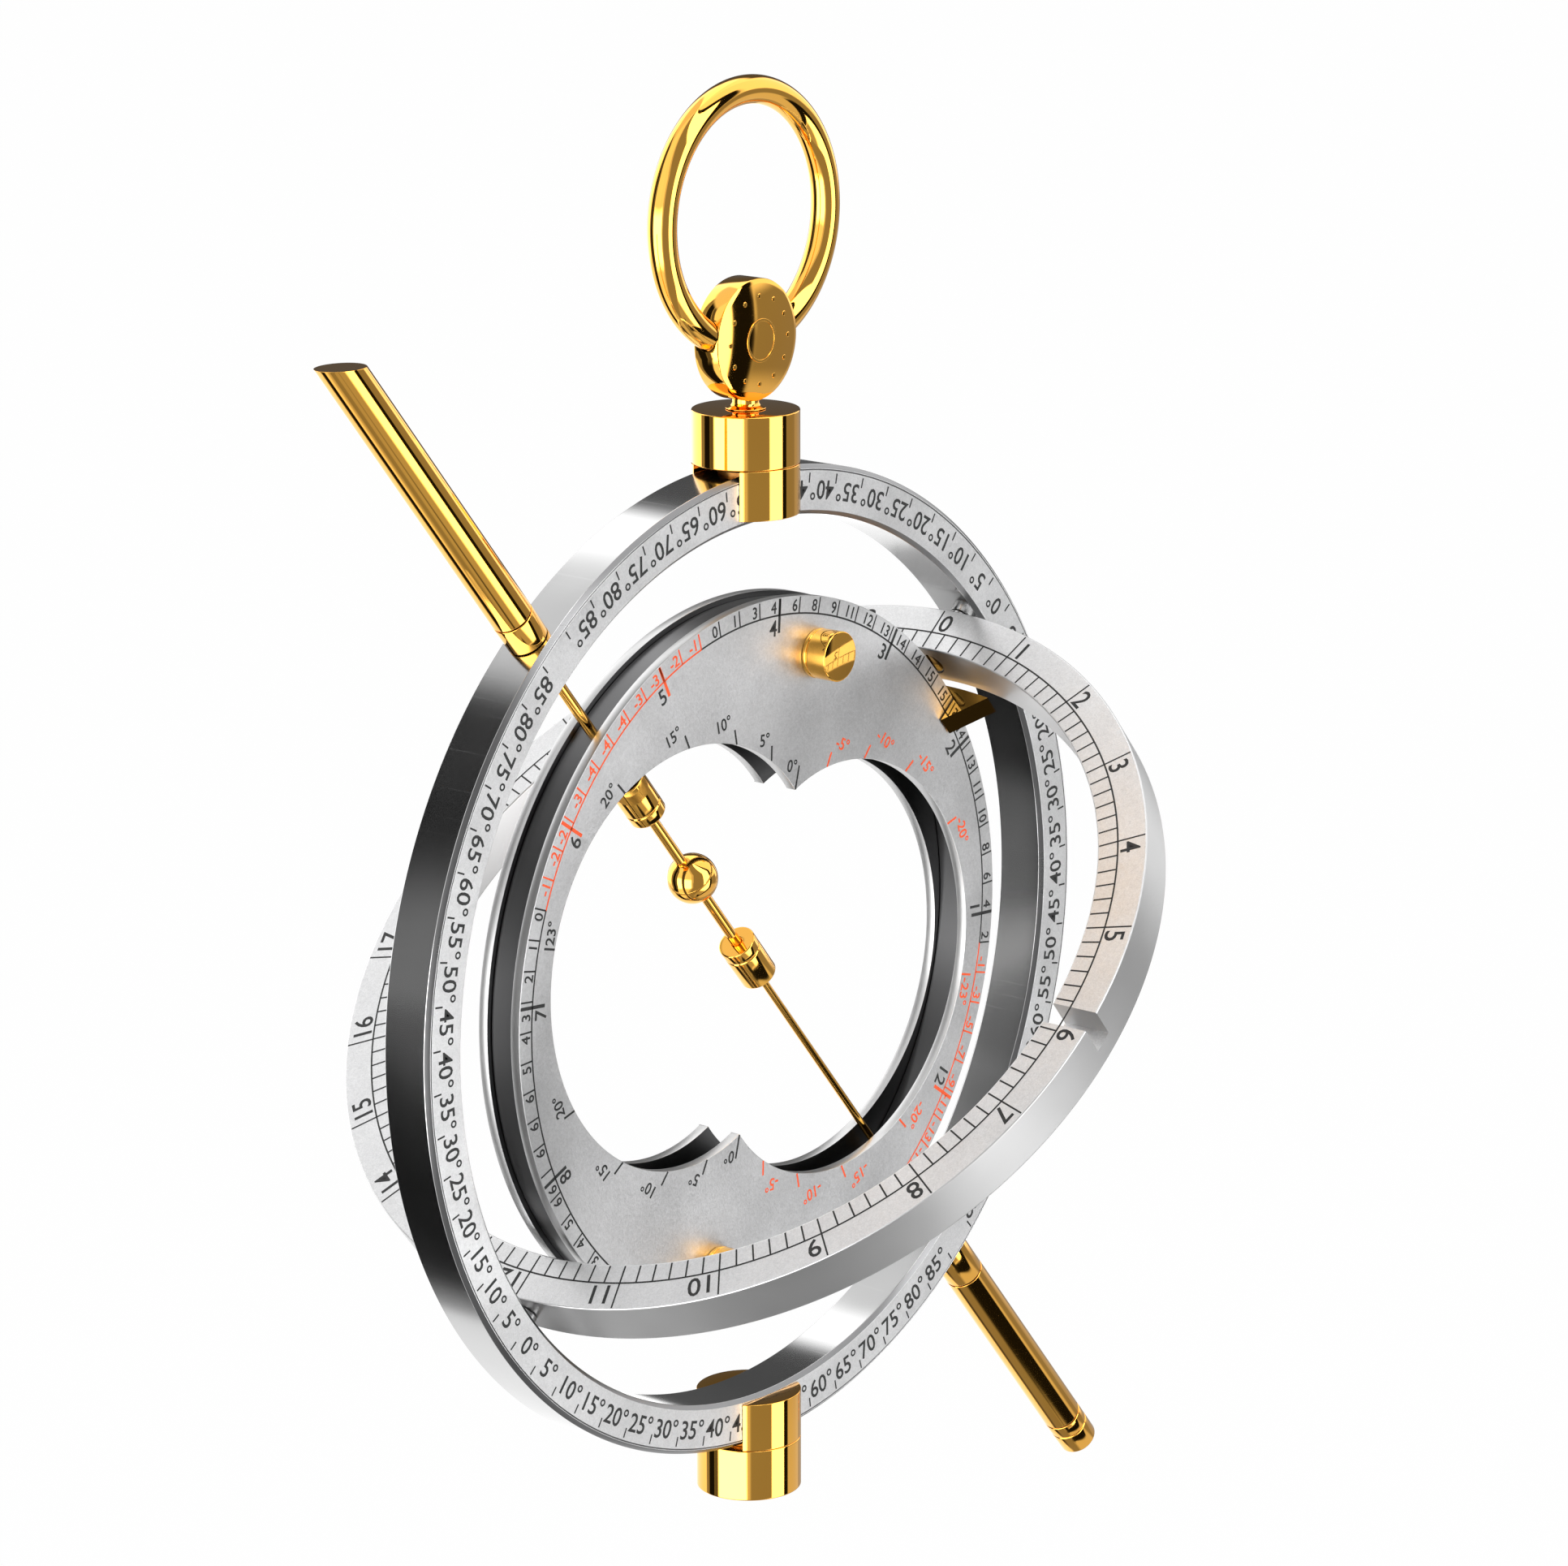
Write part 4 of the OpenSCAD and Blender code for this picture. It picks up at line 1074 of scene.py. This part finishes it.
class SUNDIAL_OT_axle(Maker):
    """Turn the handles, feet, pins and wire of the polar axle, and file the hour index"""

    bl_idname = "sundial.axle"
    bl_label = "Polar Axle"

    def make(self, dial):
        rings = dial.rings
        fittings = dial.fittings
        r = fittings.handle_r
        half_seam = 0.075 * MM
        upper_seam = rings.meridian_r + 3.1 * MM
        lower_seam = rings.meridian_r + 4.9 * MM
        cap_seam = rings.meridian_r + 29.9 * MM
        reach = rings.meridian_r + 34.6 * MM
        lower_reach = rings.meridian_r + 34.2 * MM
        self.foot("upper_foot", POLAR, upper_seam - half_seam, "upper_handle_foot", rings, fittings)
        self.foot("lower_foot", LOWER_POLAR, lower_seam - half_seam, "lower_handle_foot", rings, fittings)
        upper_outline = rod_outline(r, upper_seam + half_seam, reach + 2 * r)
        upper = turned("upper_grip", upper_outline, POLAR, 0.08 * MM, steps=160)
        top = CENTRE_Z + reach * POLE.z
        only(upper)
        bpy.ops.object.mode_set(mode="EDIT")
        bpy.ops.mesh.select_all(action="SELECT")
        bpy.ops.mesh.bisect(plane_co=(0, 0, top), plane_no=(0, 0, 1), use_fill=True, clear_outer=True)
        bpy.ops.object.mode_set(mode="OBJECT")
        chamfer(upper, 0.06 * MM, 30)
        lower_outline = rod_outline(r, lower_seam + half_seam, cap_seam - half_seam)
        lower = turned("lower_grip", lower_outline, LOWER_POLAR, 0.08 * MM, steps=160)
        cap_low = cap_seam + half_seam
        cap_outline = grooved_rod(r, cap_low, lower_reach, cap_low + 1.7 * MM)
        cap = turned("lower_end", cap_outline, LOWER_POLAR, 0.1 * MM, steps=160)
        pin_low = rings.carrier_r - 0.78 * MM
        pin_top = rings.meridian_in_r + 2.28 * MM
        pins = [bore("pin", fittings.pin_r, pin_low, pin_top, pole, 96) for pole in (POLAR, LOWER_POLAR)]
        pin = gathered("axle_pins_pair", pins)
        wire_end = 31.6 * MM
        wire = bore("wire", fittings.wire_r, -wire_end, wire_end, POLAR, 96)
        for piece, node in ((upper, "upper_handle"), (lower, "lower_handle"), (cap, "lower_handle_cap"),
                            (pin, "axle_pins"), (wire, "polar_wire")):
            gilded(piece, "polar_axle", node)
        self.index(rings)

    def foot(self, name, place, shoulder, node, rings, fittings):
        spigot_end = rings.meridian_in_r - 0.1 * MM
        base = rings.meridian_r + 0.1 * MM
        spigot_r = MM
        tenon_r = 1.1 * MM
        tenon_end = shoulder + 0.5 * MM
        outline = [(0, spigot_end), (spigot_r, spigot_end), (spigot_r, base), (fittings.handle_r, base),
                   (fittings.handle_r, shoulder), (tenon_r, shoulder), (tenon_r, tenon_end),
                   (0, tenon_end)]
        piece = turned(name, outline, place, 0.08 * MM, steps=160)
        gilded(piece, "polar_axle", node)

    def index(self, rings):
        """The fork: a flat plate cut to its slanted plan, slotted for the disc, round at its outer end."""
        heel = rings.disc_r - 2.7 * MM
        reach = rings.hour_in_r - heel
        slot = rings.plate_y + 0.15 * MM
        top = -rings.hour_t / 2 - 0.2 * MM
        low = top - 2 * MM
        round_r = math.sqrt((rings.hour_in_r - 0.15 * MM) ** 2 - low ** 2)
        half_w = slot + reach * 1.04
        slant = math.radians(46)
        away = 20 * MM
        piece = block("index_fork", (heel, -half_w, low), (rings.hour_in_r, half_w, top), POLAR)
        for side in (1, -1):
            corner = Vector((heel, side * slot, 0))
            turn = Matrix.Translation(corner) @ Matrix.Rotation(side * slant, 4, "Z")
            span = (0, away) if side > 0 else (-away, 0)
            cut(piece, block("slope", (-away, span[0], -away), (away, span[1], away), POLAR @ turn))
        combine(piece, bore("round", round_r, -away, away, POLAR, 512), "INTERSECT")
        cut(piece, bore("disc_slot", rings.disc_r + 0.15 * MM, -slot, slot, DISC, 512))
        tongue_h = rings.plate_in_y - 0.2 * MM
        lap = 0.6 * MM
        tongue = block("tongue", (rings.carrier_r - lap, -tongue_h, low), (rings.disc_r + lap, tongue_h, top),
                       POLAR)
        cut(tongue, bore("carrier_face", rings.carrier_r + 0.02 * MM, -MM * 3, MM * 3, DISC, 512))
        combine(piece, tongue, "UNION")
        chamfer(piece, 0.07 * MM, 30)
        gilded(piece, "polar_axle", "hour_index")


COLLAR_BORE_R = 0.52 * MM


class SUNDIAL_OT_shuttle(Maker):
    """Turn the bead, its tube and the two stop collars"""

    bl_idname = "sundial.shuttle"
    bl_label = "Bead Shuttle"

    def make(self, dial):
        fittings = dial.fittings
        place = POLAR @ Matrix.Translation((0, 0, fittings.bead_at))
        under = place @ Matrix.Rotation(math.radians(180), 4, "X")
        steps = 48
        angles = [math.pi * step / steps for step in range(steps + 1)]
        arc = [(fittings.bead_r * max(math.sin(angle), 0), -fittings.bead_r * math.cos(angle))
               for angle in angles]
        bead = turned("bead", arc, place, steps=128)
        cut(bead, bore("bead_bore", COLLAR_BORE_R, -2 * fittings.bead_r, 2 * fittings.bead_r, place))
        tube_end = fittings.collar_end
        outline = ring_outline(0.39 * MM, 0.5 * MM, -tube_end, tube_end)
        tube = turned("tube", outline, place, closed=True, steps=96)
        upper = self.collar("upper_stop", place, fittings)
        lower = self.collar("lower_stop", under, fittings)
        for piece, node in ((bead, "shadow_bead"), (tube, "shuttle_tube"), (upper, "upper_collar"),
                            (lower, "lower_collar")):
            gilded(piece, "shuttle", node)

    def collar(self, name, place, fittings):
        r = fittings.collar_r
        start = fittings.collar_end - fittings.collar_l
        end = fittings.collar_end
        groove = start + 1.2 * MM
        half_w = 0.08 * MM
        depth = 0.1 * MM
        outline = [(COLLAR_BORE_R, start), (r, start), (r, groove - half_w), (r - depth, groove),
                   (r, groove + half_w), (r, end), (COLLAR_BORE_R, end)]
        return turned(name, outline, place, fittings.bevel, closed=True, steps=160)


def over(light, mask, level):
    """Light with a patch of another level laid over it."""
    return light * (1 - mask) + mask * level


def below(height, start, end):
    """1 under the first height and 0 over the second."""
    return 1 - height.step(start, end)


class SUNDIAL_OT_stage(Maker):
    """Lay the floor, hang the studio's light and set the camera"""

    bl_idname = "sundial.stage"
    bl_label = "Stage"

    def make(self, _dial):
        self.floor()
        self.world()
        self.lamps()
        self.camera()

    def floor(self):
        deselect()
        bpy.ops.mesh.primitive_plane_add(size=12, location=(0, 0, -0.6))
        floor = fresh("floor")
        material, finish = new_finish("pale_floor")
        place = finish.node("TexCoord").outputs["Object"]
        speckle = finish.noise(place, 40.0)
        tone = finish.shade((0.86, 0.86, 0.86), (0.9, 0.9, 0.9), speckle)
        diffuse = finish.node("BsdfDiffuse", None, Color=tone)
        white = finish.node("Emission", None, Color=(1, 1, 1, 1), Strength=1.0)
        seen = finish.value(finish.node("LightPath"), "Is Camera Ray")
        shader = finish.node("MixShader", None, Fac=seen * 0.97)
        finish.tree.links.new(diffuse.outputs[0], shader.inputs[1])
        finish.tree.links.new(white.outputs[0], shader.inputs[2])
        finish.surface(shader)
        floor.data.materials.append(material)
        floor.visible_glossy = False

    def world(self):
        """White all round, with the soft boxes and dark flags of a studio in the reflections."""
        world = bpy.data.worlds.new("studio")
        bpy.context.scene.world = world
        world.use_nodes = True
        finish = Finish(world.node_tree)
        toward = finish.node("TexCoord").outputs["Generated"]
        way = finish.node("SeparateXYZ", None, Vector=toward)
        x, y, z = (finish.value(way, axis) for axis in ("X", "Y", "Z"))
        bearing = y.math("ARCTAN2", x) * (180 / math.pi)
        height = z.math("ARCSINE") * (180 / math.pi)
        light = self.studio(bearing, height)
        paths = finish.node("LightPath")
        glossy = finish.value(paths, "Is Glossy Ray")
        camera = finish.value(paths, "Is Camera Ray")
        plain = 0.85 * (1 - camera) + camera
        level = plain * (1 - glossy) + light * glossy
        background = finish.node("Background", None, Color=(1, 1, 1, 1), Strength=level)
        output = finish.node("OutputWorld")
        finish.tree.links.new(background.outputs[0], output.inputs["Surface"])

    def studio(self, bearing, height):
        """Level by bearing and height in degrees: soft boxes and dark flags, which lean as they rise."""
        upright_to = 28
        lean = 0.9
        steep = (height.math("ABSOLUTE") - upright_to).math("MAXIMUM", 0.0)
        turned_on = (bearing + steep * lean).math("WRAP", 360.0, 0.0)
        below_horizon = 0.45
        rise = 1.25
        light = below_horizon + height.step(-9, -2) * rise
        # Start, end, level and softness of each card
        cards = (
            (36, 112, 2.2, 3), (112, 122, 0.3, 1), (122, 138, 0.01, 1), (138, 148, 0.12, 2),
            (148, 188, 1.3, 2.5), (188, 215, 1.25, 4), (215, 224, 0.75, 3), (224, 272, 0.33, 3),
            (272, 304, 3.7, 1.5), (304, 316, 0.01, 0.8), (316, 345, 0.31, 2),
        )
        for start, end, level, soft in cards:
            light = over(light, turned_on.band(start, end, soft), level)
        left = turned_on.band(36, 112, 3)
        right = turned_on.band(316, 360, 2)
        patches = (
            ("pale box on the far side", height.band(-32, 6, 5) * turned_on.band(150, 215, 3), 5.5),
            ("low dark flag", below(height, -38, -28) * turned_on.band(120, 150, 2), 0.01),
            ("low part of the left box", below(height, -22, -14) * left, 1.25),
            ("low part on the right", below(height, -22, -16) * right, 0.75),
            ("high part on the right", height.step(1, 6) * right, 1.5),
            ("canopy", height.band(-10, 42, 4) * turned_on.band(14, 60, 5), 0.1),
            ("box overhead", height.step(43, 48) * bearing.band(62, 130, 4), 1.0),
            ("low part of the bright box", below(height, -46, -36) * turned_on.band(269, 304, 2), 0.5),
            ("dark well under the index", height.band(-73, -61, 3) * bearing.band(-105, -81, 4), 0.02),
            ("ground", below(height, -80, -68), 0.3),
        )
        for _name, patch, level in patches:
            light = over(light, patch, level)
        return light

    def lamps(self):
        lamps = (("key", (-0.9, -0.5, 0.9), 0.7, 9.0), ("fill", (0.8, -0.9, 0.2), 0.8, 4.0))
        for name, where, size, power in lamps:
            deselect()
            bpy.ops.object.light_add(type="AREA", location=where)
            lamp = bpy.context.active_object
            lamp.name = name
            lamp.data.size = size
            lamp.data.energy = power
            aim = Vector((0, 0, CENTRE_Z)) - Vector(where)
            lamp.rotation_euler = aim.to_track_quat("-Z", "Y").to_euler()
            lamp.visible_glossy = False

    def camera(self):
        """The photograph's view: 132 mm lens at 520 mm."""
        centre = Vector((0, 0, CENTRE_Z))
        where = centre + Vector((-383.657, -320.571, 142.678)) * MM
        target = centre + Vector((5.325, 0.065, 15.261)) * MM
        roll = math.radians(0.08)
        deselect()
        bpy.ops.object.camera_add(location=where)
        camera = bpy.context.active_object
        camera.data.lens = 131.875
        camera.data.sensor_width = 36
        camera.data.sensor_fit = "HORIZONTAL"
        camera.data.clip_start = 0.01
        facing = (target - where).to_track_quat("-Z", "Y").to_matrix()
        camera.rotation_euler = (facing @ Matrix.Rotation(-roll, 3, "Z")).to_euler()
        bpy.context.scene.camera = camera


class SundialSettings(bpy.types.PropertyGroup):
    """All settings of the dial."""

    rings: PointerProperty(type=RingSizes)
    fittings: PointerProperty(type=FittingSizes)
    scales: PointerProperty(type=ScaleSizes)
    colours: PointerProperty(type=DialColours)


MAKERS = (
    SUNDIAL_OT_finishes, SUNDIAL_OT_stage, SUNDIAL_OT_suspension, SUNDIAL_OT_sliders, SUNDIAL_OT_meridian,
    SUNDIAL_OT_hour_ring, SUNDIAL_OT_date_disc, SUNDIAL_OT_axle, SUNDIAL_OT_shuttle,
)


class SUNDIAL_PT_panel(bpy.types.Panel):
    """Lists the steps that build the dial."""

    bl_label = "Ring Sundial"
    bl_idname = "SUNDIAL_PT_panel"
    bl_space_type = "VIEW_3D"
    bl_region_type = "UI"
    bl_category = "Sundial"

    def draw(self, _context):
        for maker in MAKERS:
            self.layout.operator(maker.bl_idname)


CLASSES = (RingSizes, FittingSizes, ScaleSizes, DialColours, SundialSettings, *MAKERS, SUNDIAL_PT_panel)


def register():
    for cls in CLASSES:
        bpy.utils.register_class(cls)
    bpy.types.Scene.sundial = PointerProperty(type=SundialSettings)


def unregister():
    del bpy.types.Scene.sundial
    for cls in reversed(CLASSES):
        bpy.utils.unregister_class(cls)


def main():
    register()
    bpy.context.scene.view_settings.view_transform = "Standard"
    for maker in MAKERS:
        group, name = maker.bl_idname.split(".")
        getattr(getattr(bpy.ops, group), name)()


if __name__ == "__main__":
    main()
